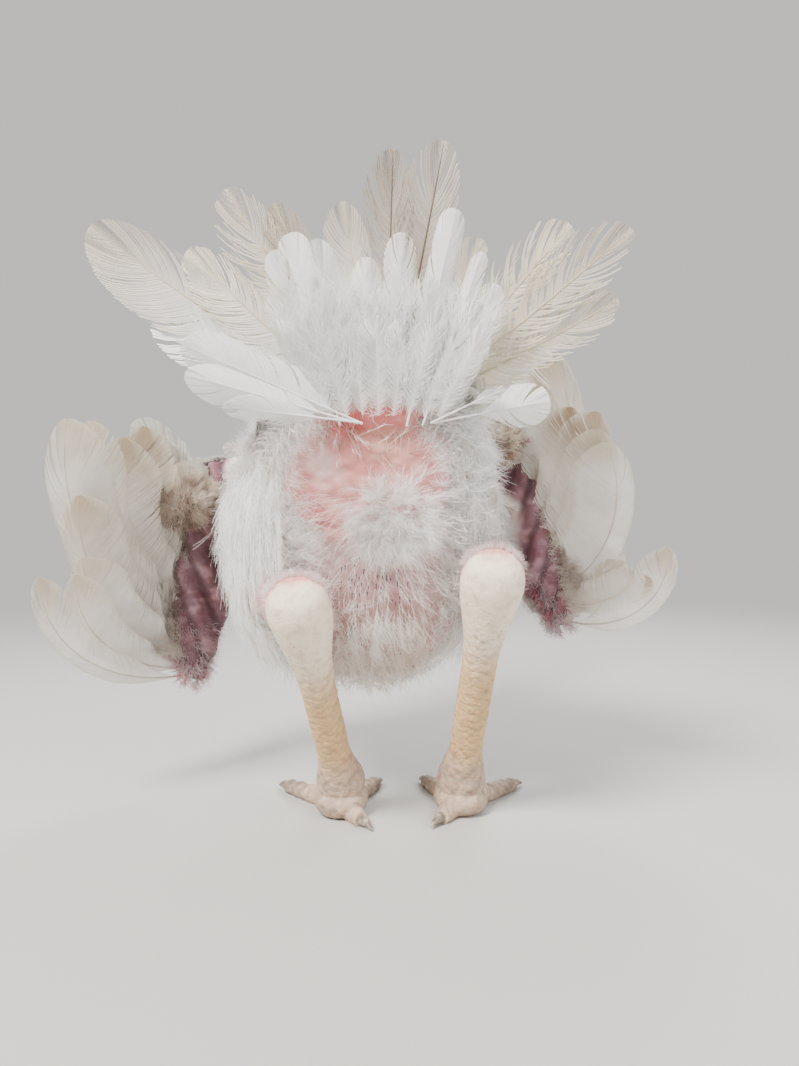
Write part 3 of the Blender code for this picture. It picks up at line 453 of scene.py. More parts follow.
def vane_template(barbs, stations, seed, lean=0.16, start=0.06, splits=3, fray=0.10, loose=0.0,
                  lead=0.42, layer=0.00012, tip=0.72, gap=0.035, blunt=2.0):
    """A feather vane of barbs side by side on both sides of its shaft.

    lead is the leading side's share of the width, splits is how many gaps of about the gap's width
    open on each side, fray shortens barbs at random, loose is the length at the base whose barbs
    are downy, and the vane narrows from tip on, to a squarer end where blunt is larger.
    """
    draw = np.random.default_rng(seed)
    t = np.linspace(0, 1, stations)[None, :]
    lines = start + (1 - start) * np.arange(barbs + 1) / barbs
    middle = (lines[1:] + lines[:-1]) / 2
    all_points, all_faces = [], []
    count = 0
    for side, reach in ((-1, lead), (1, 1 - lead)):
        turn = np.zeros(barbs)
        for cut in draw.uniform(0.25, 0.95, splits):
            turn += np.where(middle > cut, 1, -1) * gap * np.exp(-np.abs(middle - cut) / 0.05)
        downy = np.clip((loose - middle) / max(loose, 1e-6), 0, 1) if loose else np.zeros(barbs)
        turn += draw.normal(0, 0.0015 + 0.02 * fray, barbs) + downy * draw.normal(0, 0.05, barbs)
        short = 1 - fray * draw.random(barbs) ** 2
        edges = []
        for root in (lines[:-1], lines[1:]):
            slope = np.minimum(lean * (0.8 + 0.6 * root) + turn, (1 - root) * 0.92 + 0.004)
            ends = np.clip((root + slope - tip) / (1.004 - tip), 0, 0.999)
            outline = np.minimum(1, (root - start + 0.03) / 0.16) ** 0.6
            length = reach * short * outline * np.sqrt(1 - ends**blunt)
            edges.append((root[:, None] + slope[:, None] * t**1.15,
                          side * length[:, None] * np.sin(t * 1.35) / math.sin(1.35)))
        (u_low, v_low), (u_high, v_high) = edges
        draw_in = (0.04 + 0.5 * fray + 0.5 * downy[:, None]) * t * 0.5
        u_low, u_high = u_low + (u_high - u_low) * draw_in, u_high - (u_high - u_low) * draw_in
        v_low, v_high = v_low + (v_high - v_low) * draw_in, v_high - (v_high - v_low) * draw_in
        droop = -0.0009 * downy[:, None] * draw.random((barbs, 1)) * t
        lift = draw.normal(0, layer * 0.5, (barbs, 1)) + droop
        tone = (1 + draw.normal(0, 0.018 + 0.05 * fray, (barbs, 1))) * np.ones_like(t)
        still = np.zeros_like(u_low)
        low = np.stack([u_low, v_low, lift - layer + still, tone, still, t + still], -1)
        high = np.stack([u_high, v_high, lift + layer + still, tone, still, t + still], -1)
        points, faces = strips(low, high)
        all_points.append(points)
        all_faces.append(faces + count)
        count += len(points)
    return np.concatenate(all_points), np.concatenate(all_faces)


def shaft_template(stations, thick):
    """A tapered three-sided shaft. thick is its half thickness at the root in metres."""
    u = np.linspace(-0.02, 0.99, stations)
    ring = np.array([(-1.0, 0.3), (0.0, 1.0), (1.0, 0.3), (0.0, -0.9)])
    radius = thick * (1 - 0.86 * np.clip(u, 0, 1)) ** 0.8
    points = np.zeros((stations, 4, 6))
    points[..., 0] = u[:, None]
    points[..., 2] = ring[None, :, 1] * radius[:, None]
    points[..., 3] = 1
    points[..., 4] = ring[None, :, 0] * radius[:, None]
    k, i = np.meshgrid(np.arange(stations - 1), np.arange(4), indexing="ij")
    j = (i + 1) % 4
    a, b, c, d = k * 4 + i, (k + 1) * 4 + i, (k + 1) * 4 + j, k * 4 + j
    faces = np.stack([np.stack([a, b, c], -1), np.stack([a, c, d], -1)], -2).reshape(-1, 3)
    return points.reshape(-1, 6), faces


def plume_template(barbs, seed, spread=0.55, droop=0.5, width=0.007):
    """A downy plume: a fine shaft with long loose curved barbs, all as thin ribbons."""
    draw = np.random.default_rng(seed)
    stations = 3
    t = np.linspace(0, 1, stations)[None, :]
    root = draw.uniform(0.02, 0.72, barbs)[:, None]
    side = draw.choice([-1.0, 1.0], barbs)[:, None]
    length = draw.uniform(0.28, 0.62, barbs)[:, None] * (1.1 - 0.45 * root)
    open_angle = draw.uniform(0.25, 1.0, barbs)[:, None] * spread * 1.6
    bend = draw.normal(0.0, 0.35, barbs)[:, None]
    u = root + length * np.cos(open_angle + bend * t) * t
    v = side * length * np.sin(open_angle + bend * t) * t
    lift = draw.normal(0, 0.0035, (barbs, 1)) * t - 0.004 * droop * t**2 * draw.random((barbs, 1))
    half = width * (1 - 0.8 * t)
    tone = 1 + draw.normal(0, 0.05, (barbs, 1)) * np.ones_like(t)
    still = np.zeros_like(u)
    left = np.stack([u, v - half, lift, tone, still, t + still], -1)
    right = np.stack([u + half * 0.3, v + half, lift + 0.0001, tone, still, t + still], -1)
    points, faces = strips(left, right)
    edge = -width * 0.9 * (1 - 0.8 * t[0])
    shaft_left = np.stack([t[0], edge, 0 * edge, 1 + 0 * edge, 0 * edge, 0 * edge], -1)[None]
    shaft_right = shaft_left * np.array([1, -1, 1, 1, 1, 1])
    more_points, more_faces = strips(shaft_left, shaft_right)
    return np.concatenate([points, more_points]), np.concatenate([faces, more_faces + len(points)])


# Growing feathers


def body_uv(points):
    """An unwrap of the bird's own shape: its length against the angle round its axis."""
    share = np.clip((points[:, 1] + 0.24) / 0.50, 0, 1)
    axis = 0.18 + 0.12 * smooth(points[:, 1], 0.05, 0.2)
    angle = np.arctan2(points[:, 0], points[:, 2] - axis) / (2 * math.pi) + 0.5
    return np.stack([0.01 + 0.97 * share, 0.01 + 0.97 * angle], -1)


class Flock:
    """Feathers of a kind, gathered and then made into pieces of limited size."""

    def __init__(self, name, finish, slot):
        self.name, self.finish, self.slot = name, finish, slot
        self.points, self.faces, self.colours, self.uvs = [], [], [], []
        self.count, self.strips_done = 0, 0

    def add(self, template, root, along, normal, length, width, curl=0.0, sweep=0.0, camber=0.12,
            colour=WHITE, tip=None, tip_from=0.75, edge=None, edge_from=0.72, twist=0.0, strips_uv=False):
        """Grows one template at many roots. Colours and sizes are one value or one for each."""
        shape, faces = template
        root = np.atleast_2d(root)
        many = len(root)
        if not many:
            return
        along = unit(np.broadcast_to(along, (many, 3)))
        normal = np.broadcast_to(normal, (many, 3))
        normal = unit(normal - along * (normal * along).sum(-1, keepdims=True))
        side = np.cross(along, normal)

        def each(value):
            return np.broadcast_to(np.asarray(value, float), (many,))[:, None]

        length, width, curl, sweep, twist = (each(value) for value in (length, width, curl, sweep, twist))
        u, v, w, tone = shape[:, 0][None], shape[:, 1][None], shape[:, 2][None], shape[:, 3]
        bend = np.where(np.abs(curl) < 1e-3, 1e-3, curl)
        ahead = length * np.sin(bend * u) / bend
        down = -length * (1 - np.cos(bend * u)) / bend
        tilt = bend * u
        lean = sweep * u
        offset = v * width + shape[:, 4][None]
        lift = w - camber * width * v**2
        turned = twist * u
        across = offset * np.cos(turned) - lift * np.sin(turned)
        out = lift * np.cos(turned) + offset * np.sin(turned)
        x = ahead * np.cos(lean / 2) - across * np.sin(lean) + out * np.sin(tilt)
        y = ahead * np.sin(lean / 2) + across * np.cos(lean)
        z = down + out * np.cos(tilt)
        points = (root[:, None] + along[:, None] * x[..., None] + side[:, None] * y[..., None]
                  + normal[:, None] * z[..., None])

        def tones(value):
            return np.broadcast_to(np.asarray(value, float), (many, 3))[:, None]

        base = tones(colour) * np.ones((1, len(tone), 1))
        if tip is not None:
            base = mix(base, tones(tip), smooth(np.broadcast_to(u, x.shape), each(tip_from), 1.02))
        if edge is not None:
            base = mix(base, tones(edge), smooth(shape[:, 5], edge_from, 1.0) * smooth(u, 0.1, 0.5))
        base = base * tone[None, :, None]
        if strips_uv:
            number = (np.arange(many) + self.strips_done)[:, None]
            self.strips_done += many
            patch = np.stack([0.02 + 0.96 * np.clip(u, 0, 1) * np.ones((many, 1)),
                              (number + 0.5 + 0.45 * np.clip(v, -1, 1)) / STRIPS_ROOM], -1)
        else:
            place = body_uv(root)[:, None]
            small = np.stack([np.clip(u, 0, 1) - 0.5, np.clip(v, -1, 1) / 2], -1) * BAKE_PATCH
            patch = place + small * np.ones((many, 1, 1))
        step = np.arange(many)[:, None, None] * len(tone)
        self.points.append(points.reshape(-1, 3))
        self.faces.append((faces[None] + step).reshape(-1, 3) + self.count)
        self.colours.append(base.reshape(-1, 3))
        self.uvs.append(patch.reshape(-1, 2))
        self.count += many * len(tone)

    def make(self, replaced=()):
        """Makes the pieces, none of more than the most triangles."""
        points, faces = np.concatenate(self.points), np.concatenate(self.faces)
        colours, uvs = np.concatenate(self.colours), np.concatenate(self.uvs)
        pieces = max(1, math.ceil(len(faces) / MOST_TRIANGLES))
        bounds = np.linspace(0, len(faces), pieces + 1).astype(int)
        for i in range(pieces):
            chosen = faces[bounds[i]:bounds[i + 1]]
            used, renumbered = np.unique(chosen, return_inverse=True)
            name = self.name if pieces == 1 else f"{self.name}_{i + 1}"
            obj = array_mesh(name, points[used], renumbered.reshape(-1, 3), colours[used], uvs[used])
            finish(obj, self.finish, self.slot, replaced)


def finish(obj, material, slot, replaced=()):
    """Gives a piece its material and its body."""
    obj.data.materials.clear()
    obj.data.materials.append(MATERIALS[material])
    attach(obj, "root")
    if replaced:
        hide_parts(*replaced)


# Materials


class Shader:
    """Builds a node material round one Principled shader."""

    def __init__(self, name, roughness, **sockets):
        self.material = bpy.data.materials.new(name)
        self.material.use_nodes = True
        self.tree = self.material.node_tree
        self.main = self.tree.nodes["Principled BSDF"]
        self.main.inputs["Roughness"].default_value = roughness
        for socket, value in sockets.items():
            self.main.inputs[socket.replace("_", " ")].default_value = value

    def node(self, kind, **values):
        made = self.tree.nodes.new(kind)
        for key, value in values.items():
            if key in made.inputs:
                made.inputs[key].default_value = value
            else:
                setattr(made, key, value)
        return made

    def join(self, source, target):
        self.tree.links.new(source, target)

    def place(self):
        return self.node("ShaderNodeTexCoord").outputs["Object"]

    def painted(self):
        return self.node("ShaderNodeAttribute", attribute_name="Col").outputs["Color"]

    def noise(self, scale, detail):
        made = self.node("ShaderNodeTexNoise", Scale=scale, Detail=detail, Roughness=0.55)
        self.join(self.place(), made.inputs["Vector"])
        return made.outputs["Fac"]

    def ramp(self, source, low, high, out_low=0.0, out_high=1.0):
        made = self.node("ShaderNodeMapRange")
        for key, value in (("From Min", low), ("From Max", high), ("To Min", out_low), ("To Max", out_high)):
            made.inputs[key].default_value = value
        made.interpolation_type = "SMOOTHSTEP"
        self.join(source, made.inputs["Value"])
        return made.outputs["Result"]

    def blend(self, factor, first, second, mode="MIX"):
        made = self.node("ShaderNodeMix", data_type="RGBA", blend_type=mode)
        for socket, value in ((made.inputs[0], factor), (made.inputs[6], first), (made.inputs[7], second)):
            if isinstance(value, (float, int)):
                socket.default_value = value
            elif isinstance(value, tuple):
                socket.default_value = (*value, 1.0) if len(value) == 3 else value
            else:
                self.join(value, socket)
        return made.outputs[2]

    def bump(self, heights, strength=0.4, distance=0.0006):
        """heights is a list of (source, weight) added into one bump."""
        total = None
        for source, weight in heights:
            scaled = self.node("ShaderNodeMath", operation="MULTIPLY")
            self.join(source, scaled.inputs[0])
            scaled.inputs[1].default_value = weight
            if total is not None:
                added = self.node("ShaderNodeMath", operation="ADD")
                self.join(total, added.inputs[0])
                self.join(scaled.outputs[0], added.inputs[1])
                scaled = added
            total = scaled.outputs[0]
        made = self.node("ShaderNodeBump")
        made.inputs["Strength"].default_value = strength
        made.inputs["Distance"].default_value = distance
        self.join(total, made.inputs["Height"])
        self.join(made.outputs["Normal"], self.main.inputs["Normal"])

    def stained(self, mask, tint):
        """Paints the base colour and multiplies it by a tint where the mask is high."""
        darker = self.blend(1.0, self.painted(), tint, "MULTIPLY")
        self.join(self.blend(mask, self.painted(), darker), self.main.inputs["Base Color"])

    def mixed(self, other):
        """Mixes another shader with the main one and returns the socket of its share."""
        both = self.node("ShaderNodeMixShader")
        self.join(self.main.outputs[0], both.inputs[1])
        self.join(other.outputs[0], both.inputs[2])
        self.join(both.outputs[0], self.tree.nodes["Material Output"].inputs["Surface"])
        return both.inputs[0]


def feather_material(name, share, low, high, roughness):
    """Painted feather whose tone wanders from low to high, with some light from behind."""
    shader = Shader(name, roughness, Sheen_Weight=0.25, Sheen_Roughness=0.5)
    shader.main.inputs["Specular IOR Level"].default_value = 0.3
    patch = shader.ramp(shader.noise(55.0, 3.0), 0.3, 0.7, low, high)
    grey = shader.node("ShaderNodeCombineColor")
    for socket in grey.inputs[:3]:
        shader.join(patch, socket)
    colour = shader.blend(1.0, shader.painted(), grey.outputs[0], "MULTIPLY")
    shader.join(colour, shader.main.inputs["Base Color"])
    through = shader.node("ShaderNodeBsdfTranslucent")
    shader.join(colour, through.inputs["Color"])
    shader.mixed(through).default_value = share
    return shader.material


def skin_material(name, roughness, pore, wrinkle, depth):
    """Painted skin with blotches, pores of the given scale and coarser wrinkles."""
    shader = Shader(name, roughness, Subsurface_Weight=0.18, Subsurface_Scale=0.004)
    shader.main.inputs["Subsurface Radius"].default_value = (1.0, 0.35, 0.25)
    blotch = shader.ramp(shader.noise(90.0, 5.0), 0.35, 0.65)
    shader.stained(blotch, (0.86, 0.70, 0.68))
    shader.bump([(shader.noise(pore, 2.0), 0.5), (shader.noise(wrinkle, 4.0), 1.0)], 0.55, depth)
    return shader.material


def leg_material():
    """Painted scale skin, dry and cracked, with grime in its hollows."""
    shader = Shader("leg_scale", 0.62, Subsurface_Weight=0.08, Subsurface_Scale=0.002)
    shader.main.inputs["Specular IOR Level"].default_value = 0.35
    cracks = shader.node("ShaderNodeTexVoronoi", feature="DISTANCE_TO_EDGE", Scale=420.0)
    shader.join(shader.place(), cracks.inputs["Vector"])
    edge = shader.ramp(cracks.outputs["Distance"], 0.0, 0.12)
    grime = shader.ramp(shader.noise(160.0, 5.0), 0.45, 0.75, 0.0, 0.55)
    shader.stained(grime, (0.62, 0.52, 0.45))
    shader.bump([(edge, 0.35), (shader.noise(500.0, 4.0), 0.6)], 0.5, 0.0005)
    return shader.material


def horn_material(name, roughness):
    """Painted horn with fine darker mottling."""
    shader = Shader(name, roughness)
    streak = shader.ramp(shader.noise(300.0, 3.0), 0.3, 0.7)
    shader.stained(streak, (0.72, 0.64, 0.56))
    shader.bump([(shader.noise(700.0, 3.0), 1.0)], 0.25, 0.0003)
    return shader.material


def eye_material():
    shader = Shader("eye", 0.06, Coat_Weight=1.0, Coat_Roughness=0.02)
    shader.join(shader.painted(), shader.main.inputs["Base Color"])
    return shader.material


def floor_material():
    shader = Shader("floor", 0.85)
    shader.main.inputs["Base Color"].default_value = (0.46, 0.45, 0.43, 1)
    away = shader.node("ShaderNodeVectorMath", operation="LENGTH")
    shader.join(shader.place(), away.inputs[0])
    far = shader.ramp(away.outputs["Value"], 0.2, 1.7)
    glow = shader.node("ShaderNodeEmission")
    glow.inputs["Color"].default_value = BACKDROP
    shader.join(far, shader.mixed(glow))
    return shader.material


MATERIALS = {
    "down": feather_material("down", 0.5, 0.97, 1.03, 0.8),
    "contour": feather_material("contour", 0.36, 0.94, 1.02, 0.7),
    "flight": feather_material("flight", 0.26, 0.92, 1.03, 0.55),
    "skin": skin_material("skin", 0.5, 1400.0, 260.0, 0.0006),
    "face": skin_material("face", 0.48, 1500.0, 420.0, 0.0006),
    "leg": leg_material(),
    "claw": horn_material("claw", 0.45),
    "beak": horn_material("beak", 0.35),
    "eye": eye_material(),
    "floor": floor_material(),
}


# Skin


def bareness(points):
    """How bare the skin is, from 0 to 1: the vent patch behind."""
    away = (points - VENT_AT) / VENT_HALF
    edge = np.hypot(away[:, 0], away[:, 2]) + 0.10 * wander(points, 0.03, 3)
    return (1 - smooth(edge, 0.80, 1.15)) * smooth(-points[:, 1], 0.045, 0.075)


def torso_skin(share, angle):
    here, normal, _ = surface_frame(torso_at, share, angle)
    flat = here.reshape(-1, 3)
    depth = COAT_DEPTH * (1 - bareness(flat)) + 0.0008
    return (flat - normal.reshape(-1, 3) * depth[:, None]).reshape(here.shape)


def thigh_surface(leg, inset=0.0):
    hip, knee, hock = (np.array(leg[key]) for key in ("hip", "knee", "hock"))
    end = hock + unit(knee - hock) * 0.014
    path = read_rows([hip, knee, end], [0.0, 0.35, 0.55, 0.78, 1.0])
    radii = np.array([0.034, 0.037, 0.035, 0.028, 0.0175]) - inset * np.array([1, 1, 1, 0.8, 0.4])
    return tube([tuple(p) + (r, r * 1.06) for p, r in zip(path, radii)])


# Tones of the bare patch as (x, z, half width, half height, colour, strength)
VENT_TONES = [
    (-0.020, 0.229, 0.014, 0.006, RED, 0.95),
    (0.014, 0.238, 0.016, 0.008, RED, 0.85),
    (0.002, 0.217, 0.014, 0.008, (0.76, 0.45, 0.33), 0.8),
    (-0.034, 0.206, 0.010, 0.012, (0.78, 0.58, 0.56), 0.8),
    (-0.037, 0.182, 0.014, 0.013, (0.60, 0.17, 0.19), 0.75),
    (0.025, 0.199, 0.015, 0.017, (0.60, 0.20, 0.22), 0.75),
    (-0.006, 0.206, 0.012, 0.006, (0.62, 0.20, 0.19), 0.6),
    (-0.069, 0.168, 0.012, 0.013, (0.62, 0.38, 0.37), 0.8),
]


def body_colour(points, normals):
    """Pink skin with the tones of the bare patch, painted shade low behind, mauve under the wings with
    lighter patches painted as highlights, and pale below the coat.
    """
    colour = mix(PALE_PINK, PINK, 0.5 + 0.5 * wander(points, 0.03, 5))
    for x, z, half_x, half_z, tone, strength in VENT_TONES:
        away = ((points[:, 0] - x) / half_x) ** 2 + ((points[:, 2] - z) / half_z) ** 2
        edge = away + 0.5 * wander(points, 0.009, 8)
        colour = mix(colour, tone, strength * np.exp(-np.maximum(edge, 0)) * (points[:, 1] < -0.03))
    lower = smooth(0.176 - points[:, 2], 0.0, 0.03) * smooth(-points[:, 1], 0.0, 0.05)
    # Painted shade: a darker, greyer pink over the low skin behind
    low_shade = mix((0.62, 0.44, 0.43), (0.46, 0.31, 0.31), smooth(wander(points, 0.018, 9), 0.0, 0.9))
    covered = (1 - bareness(points)) * (1 - lower)
    throat = 1 - smooth(np.linalg.norm(points - np.array(HEAD_AT), axis=1), 0.026, 0.040)
    under_wing = wing_part(points) * (1 - smooth(normals[:, 1], 0.1, 0.5))
    # Lighter patches in the mauve are painted highlights on the wing flesh
    mauve = mix(MAUVE, (0.42, 0.25, 0.29), smooth(wander(points, 0.022, 12), -0.1, 1.0))
    return layered(colour, (low_shade, lower * 0.8), ((0.90, 0.87, 0.84), covered * 0.95),
                   (FACE_RED, throat * 0.85), (mauve, under_wing))


def wing_part(points):
    """How far a place of the skin belongs to the wings, which begin outside the body and thighs."""
    low_right = (points[:, 0] > 0) * smooth(0.210 - points[:, 2], 0, 0.02)
    return smooth(np.abs(points[:, 0] - BODY_X) - 0.022 * low_right, 0.086, 0.095)


def limb(start, end, flesh, face):
    """One part of the arm, oval across the wing."""
    steps = len(flesh) - 1
    rows = [tuple(start + (end - start) * i / steps) + size for i, size in enumerate(flesh)]
    return loft("limb", tube(rows, face), 26, 34)


def arm_flesh(wing):
    face, out, _ = wing_frame(wing)
    inward = -out
    shoulder, elbow, wrist, finger = arm_joints(wing)
    inner = shoulder - np.array((wing["side"] * 0.015, 0, 0))
    elbow, wrist, finger = elbow - face * 0.003, wrist - face * 0.005, finger - face * 0.003
    return [
        limb(inner, elbow, ARM_FLESH["upper"], face),
        limb(elbow, wrist, ARM_FLESH["fore"], face),
        limb(wrist, finger, ARM_FLESH["hand"], face),
        limb(elbow + inward * 0.020, wrist + inward * 0.015, ARM_FLESH["inner"], face),
        limb(wrist + inward * 0.015, finger + inward * 0.004, ARM_FLESH["palm"], face),
    ]


def arm_joints(wing):
    return [np.array(wing[key]) for key in ("shoulder", "elbow", "wrist", "finger")]


def fold_of_skin(wing):
    """The web between body, upper arm and forearm, in a few soft folds."""
    side = wing["side"]
    shoulder, elbow, wrist, _ = arm_joints(wing)
    flank = np.array((BREAST_X + side * 0.070, -0.012, shoulder[2] - 0.034))
    s, t = np.meshgrid(np.linspace(0, 1, 30), np.linspace(0, 1, 24), indexing="ij")
    s, t = s[..., None], t[..., None]
    top = shoulder + (elbow - shoulder) * s
    low = flank + (wrist * 0.70 + elbow * 0.30 - flank) * s
    sheet = top + (low - top) * t
    sheet[..., 1:2] += 0.010 * np.sin(math.pi * t) + 0.0030 * np.sin(s * 17 + t * 3) * t
    front = sheet + np.array((0, 0.0024, 0))
    back = sheet - np.array((0, 0.0024, 0))
    return tube_mesh("web", np.concatenate([front, back[:, ::-1]], 1))


def make_skin():
    parts = [
        loft("torso", torso_skin, 90, 90),
        loft("neck", neck_inside, 50, 48),
        blob("rump", TAIL_ROOT, (0.026, 0.018, 0.016)),
    ]
    for leg in LEGS.values():
        parts.append(loft("thigh", thigh_surface(leg, THIGH_INSET), 40, 40))
    for wing in WINGS.values():
        parts += arm_flesh(wing)
        parts.append(fold_of_skin(wing))
    parts.append(blob("lump", (-0.069, -0.070, 0.168), (0.012, 0.012, 0.014)))
    skin = fused("bird_skin", parts, SKIN_VOXEL, 2)
    points, normals = mesh_arrays(skin.data)
    bare = bareness(points)
    bump = wander(points, 0.011, 21) * 0.0007 * bare + wander(points, 0.005, 22) * 0.00025
    wing_folds = wing_part(points)
    across = np.abs(points[:, 0]) * 0.96 - points[:, 2] * 0.28
    fold = np.sin(across * 480 + 0.5 * wander(points, 0.06, 23))
    bump += wing_folds * (0.0009 * fold + 0.0002 * wander(points, 0.006, 24))
    set_points(skin.data, points + normals * bump[:, None])
    colour = body_colour(points, normals)
    # Painted shade: the hollows between the wing's folds are darkened where the flesh faces away from the
    # front
    fold_shade = wing_folds * smooth(-fold, 0.2, 1.0) * (1 - smooth(normals[:, 1], 0.1, 0.5))
    paint(skin.data, mix(colour, (0.075, 0.032, 0.045), fold_shade * 0.75))
    wings = [f"wing_{side}_{part}" for side in ("left", "right") for part in ("arm", "forearm", "hand")]
    shape = bmesh.new()
    shape.from_mesh(skin.data)
    tree = BVHTree.FromBMesh(shape)
    shape.free()
    finish(skin, "skin", "body_feather", ["torso", "neck", "thigh_left", "thigh_right"] + wings)
    return tree


def neck_inside(share, angle):
    here, normal, _ = surface_frame(neck_at, share, angle)
    return here - normal * NECK_INSET


# Legs


def shank_line(leg):
    hock, foot = np.array(leg["hock"]), np.array(leg["foot"])
    ahead = unit(foot - hock)
    start = hock - ahead * 0.016
    return start, ahead, float(np.linalg.norm(foot - start))


def toe_rows(leg, toe):
    name, angle, length, radius = toe
    heading = math.radians(leg["heading"] - leg["side"] * angle)
    out = np.array((math.sin(heading), math.cos(heading), 0))
    base = np.array((leg["foot"][0], leg["foot"][1] + PAD_AHEAD, 0))
    lift = 0.0105 if name == "back" else 0.0125
    rows = []
    for i in range(9):
        share = i / 8
        size = radius * (1 - 0.30 * share) * (1.0 if i % 2 == 0 else 0.88)
        height = size - 0.0013 + lift * max(0.0, 1 - share / 0.45) ** 1.5
        place = base + out * (PAD_AHEAD + (length - PAD_AHEAD) * share) + (0, 0, height)
        rows.append(tuple(place) + (size, size))
    return rows, out


def make_leg(label, leg):
    """Shank, hock and toes in one skin with rings of scales, then the claws."""
    start, ahead, length = shank_line(leg)
    profile = [(0.0, 0.0094, 0.0080), (0.005, 0.0146, 0.0128), (0.014, 0.0170, 0.0152),
               (0.024, 0.0164, 0.0148), (0.036, 0.0142, 0.0134), (0.050, 0.0114, 0.0116),
               (0.066, 0.0098, 0.0104)]
    profile += [(length * share, 0.0096, 0.0102) for share in (0.58, 0.72, 0.84)]
    profile += [(length * 0.93, 0.0122, 0.0124), (length, 0.0146, 0.0146), (length + 0.010, 0.0130, 0.0130)]
    rows = [tuple(start + ahead * along) + (wide, deep) for along, wide, deep in profile]
    parts = [loft("shank", tube(rows, (0, 1, 0)), 90, 48)]
    pad = (leg["foot"][0], leg["foot"][1] + PAD_AHEAD, 0.0088)
    parts.append(blob("pad", pad, (0.0165, 0.0185, 0.0110), None, 4))
    toes = [toe_rows(leg, toe) for toe in TOES]
    parts += [loft("toe", tube(toe), 40, 28) for toe, _ in toes]
    obj = fused(f"leg_{label}", parts, LEG_VOXEL, 1)
    points, normals = mesh_arrays(obj.data)

    # Rings along the shank and each toe, by whichever axis is nearest
    best = np.full(len(points), 9.0)
    along = np.zeros(len(points))
    kind = np.zeros(len(points), int)
    axes = [(start, ahead, length, 0.012)]
    axes += [(np.array(rows[0][:3]), out, 0.07, rows[0][3] * 1.1) for rows, out in toes]
    for number, (base, way, reach, wide) in enumerate(axes):
        t = np.clip((points - base) @ way, 0, reach)
        away = np.linalg.norm(points - base - way * t[:, None], axis=1) / wide
        nearer = away < best
        best = np.where(nearer, away, best)
        along = np.where(nearer, t, along)
        kind = np.where(nearer, number, kind)
    on_shank = kind == 0
    uneven = wander(points, 0.012, 31)
    upper = smooth(normals[:, 2], -0.1, 0.5)
    front = smooth(normals @ np.cross((1, 0, 0), ahead), -0.2, 0.4)
    rings = np.where(on_shank, along / SHANK_RING + 0.30 * uneven, along / TOE_RING + 0.22 * uneven) % 1.0
    plate = smooth(rings, 0.0, 0.18) * (1 - smooth(rings, 0.80, 1.0))
    bare_cap = 1 - smooth(along, 0.028, 0.066) * on_shank - (~on_shank)
    strength = np.where(on_shank, 0.00030 + 0.00035 * front, 0.00035 + 0.00035 * upper) * (1 - bare_cap)
    palm = smooth(0.004 - points[:, 2], 0, 0.003)
    shift = (plate - 0.6) * strength * (1 - palm) + wander(points, 0.004, 33) * 0.00018 * (1 - bare_cap * 0.6)
    points = points + normals * shift[:, None]
    points[:, 2] = np.maximum(points[:, 2], CLEARANCE)
    set_points(obj.data, points)

    # Pink over the top of the hock, then a cream cap, a yellow shank and grimy toes
    top = np.where(on_shank, along, 1.0)
    over = np.cross(unit(np.cross(ahead, (0, 1, 0))), ahead)
    height = (points - start) @ over + 0.002 * wander(points, 0.008, 34)
    rim = smooth(height, 0.000, 0.007) + 0.35 * smooth(height, -0.010, 0.004)
    rim = rim * (1 - smooth(top, 0.008, 0.022)) * on_shank
    flush = np.exp(-(((top - 0.045) / 0.02) ** 2)) * smooth(uneven, 0.1, 0.9) * 0.35
    speck = smooth(wander(points, 0.0024, 36, 2), 1.25, 1.6) * smooth(top, 0.016, 0.03) * on_shank
    low = smooth(top, length * 0.78, length * 0.96)
    grime = np.where(on_shank, 0.25 * low, smooth(along, 0.012, 0.045) * 0.75)
    grime = np.clip(grime + 0.25 * wander(points, 0.008, 35) * (1 - bare_cap), 0, 0.9)
    groove = (1 - plate) * (1 - bare_cap) * np.where(on_shank, 0.28, 0.40)
    paint(obj.data, layered(
        CAP_CREAM, (SHANK_YELLOW, smooth(top, 0.034, 0.085)), ((0.66, 0.22, 0.23), np.minimum(rim, 1) * 0.85),
        ((0.70, 0.44, 0.36), flush), (DIRT, speck * 0.8), (FOOT_BEIGE, low), (DIRT, grime),
        (np.array(DIRT) * 1.5, groove)))
    finish(obj, "leg", "leg_scale", [f"shank_{label}", f"foot_{label}"])
    make_claws(label, toes)


def make_claws(label, toes):
    claws = []
    for toe, out in toes:
        tip = np.array(toe[-1][:3])
        radius = toe[-1][3] * 0.66
        rows = []
        for i in range(5):
            share = i / 4
            arch = 0.0012 * math.sin(share * math.pi) - 0.0018 * share
            place = tip + out * (0.0125 * share - 0.0016 * (i == 0)) + (0, 0, arch)
            rows.append(tuple(place) + (radius * (1 - share) ** 0.75 + 0.0003,) * 2)
        claws.append(loft("claw", tube(rows), 26, 20))
    shape = gathered(claws)
    for vert in shape.verts:
        vert.co.z = max(vert.co.z, CLEARANCE)
    obj = smooth_object(f"claws_{label}", shape)
    points, _ = mesh_arrays(obj.data)
    pale = smooth(wander(points, 0.006, 41), -0.2, 0.8)
    paint(obj.data, mix((0.20, 0.165, 0.14), (0.46, 0.38, 0.29), pale))
    finish(obj, "claw", "claw_horn", [f"claw_{label}_{toe[0]}" for toe in TOES])


# Head


def from_head(points):
    """Head-frame places, +Y forwards from mid skull, turned into the bird's frame."""
    points = np.asarray(points, float)
    c, s = math.cos(HEAD_PITCH), math.sin(HEAD_PITCH)
    turned = np.stack([points[..., 0], points[..., 1] * c - points[..., 2] * s,
                       points[..., 1] * s + points[..., 2] * c], -1)
    return turned + HEAD_AT


def into_head(points):
    away = points - HEAD_AT
    c, s = math.cos(HEAD_PITCH), math.sin(HEAD_PITCH)
    return np.stack([away[:, 0], away[:, 1] * c + away[:, 2] * s, -away[:, 1] * s + away[:, 2] * c], -1)


def head_tube(rows):
    surface = tube(rows, steady=(0, 1, 0))
    return lambda share, angle: from_head(surface(share, angle))


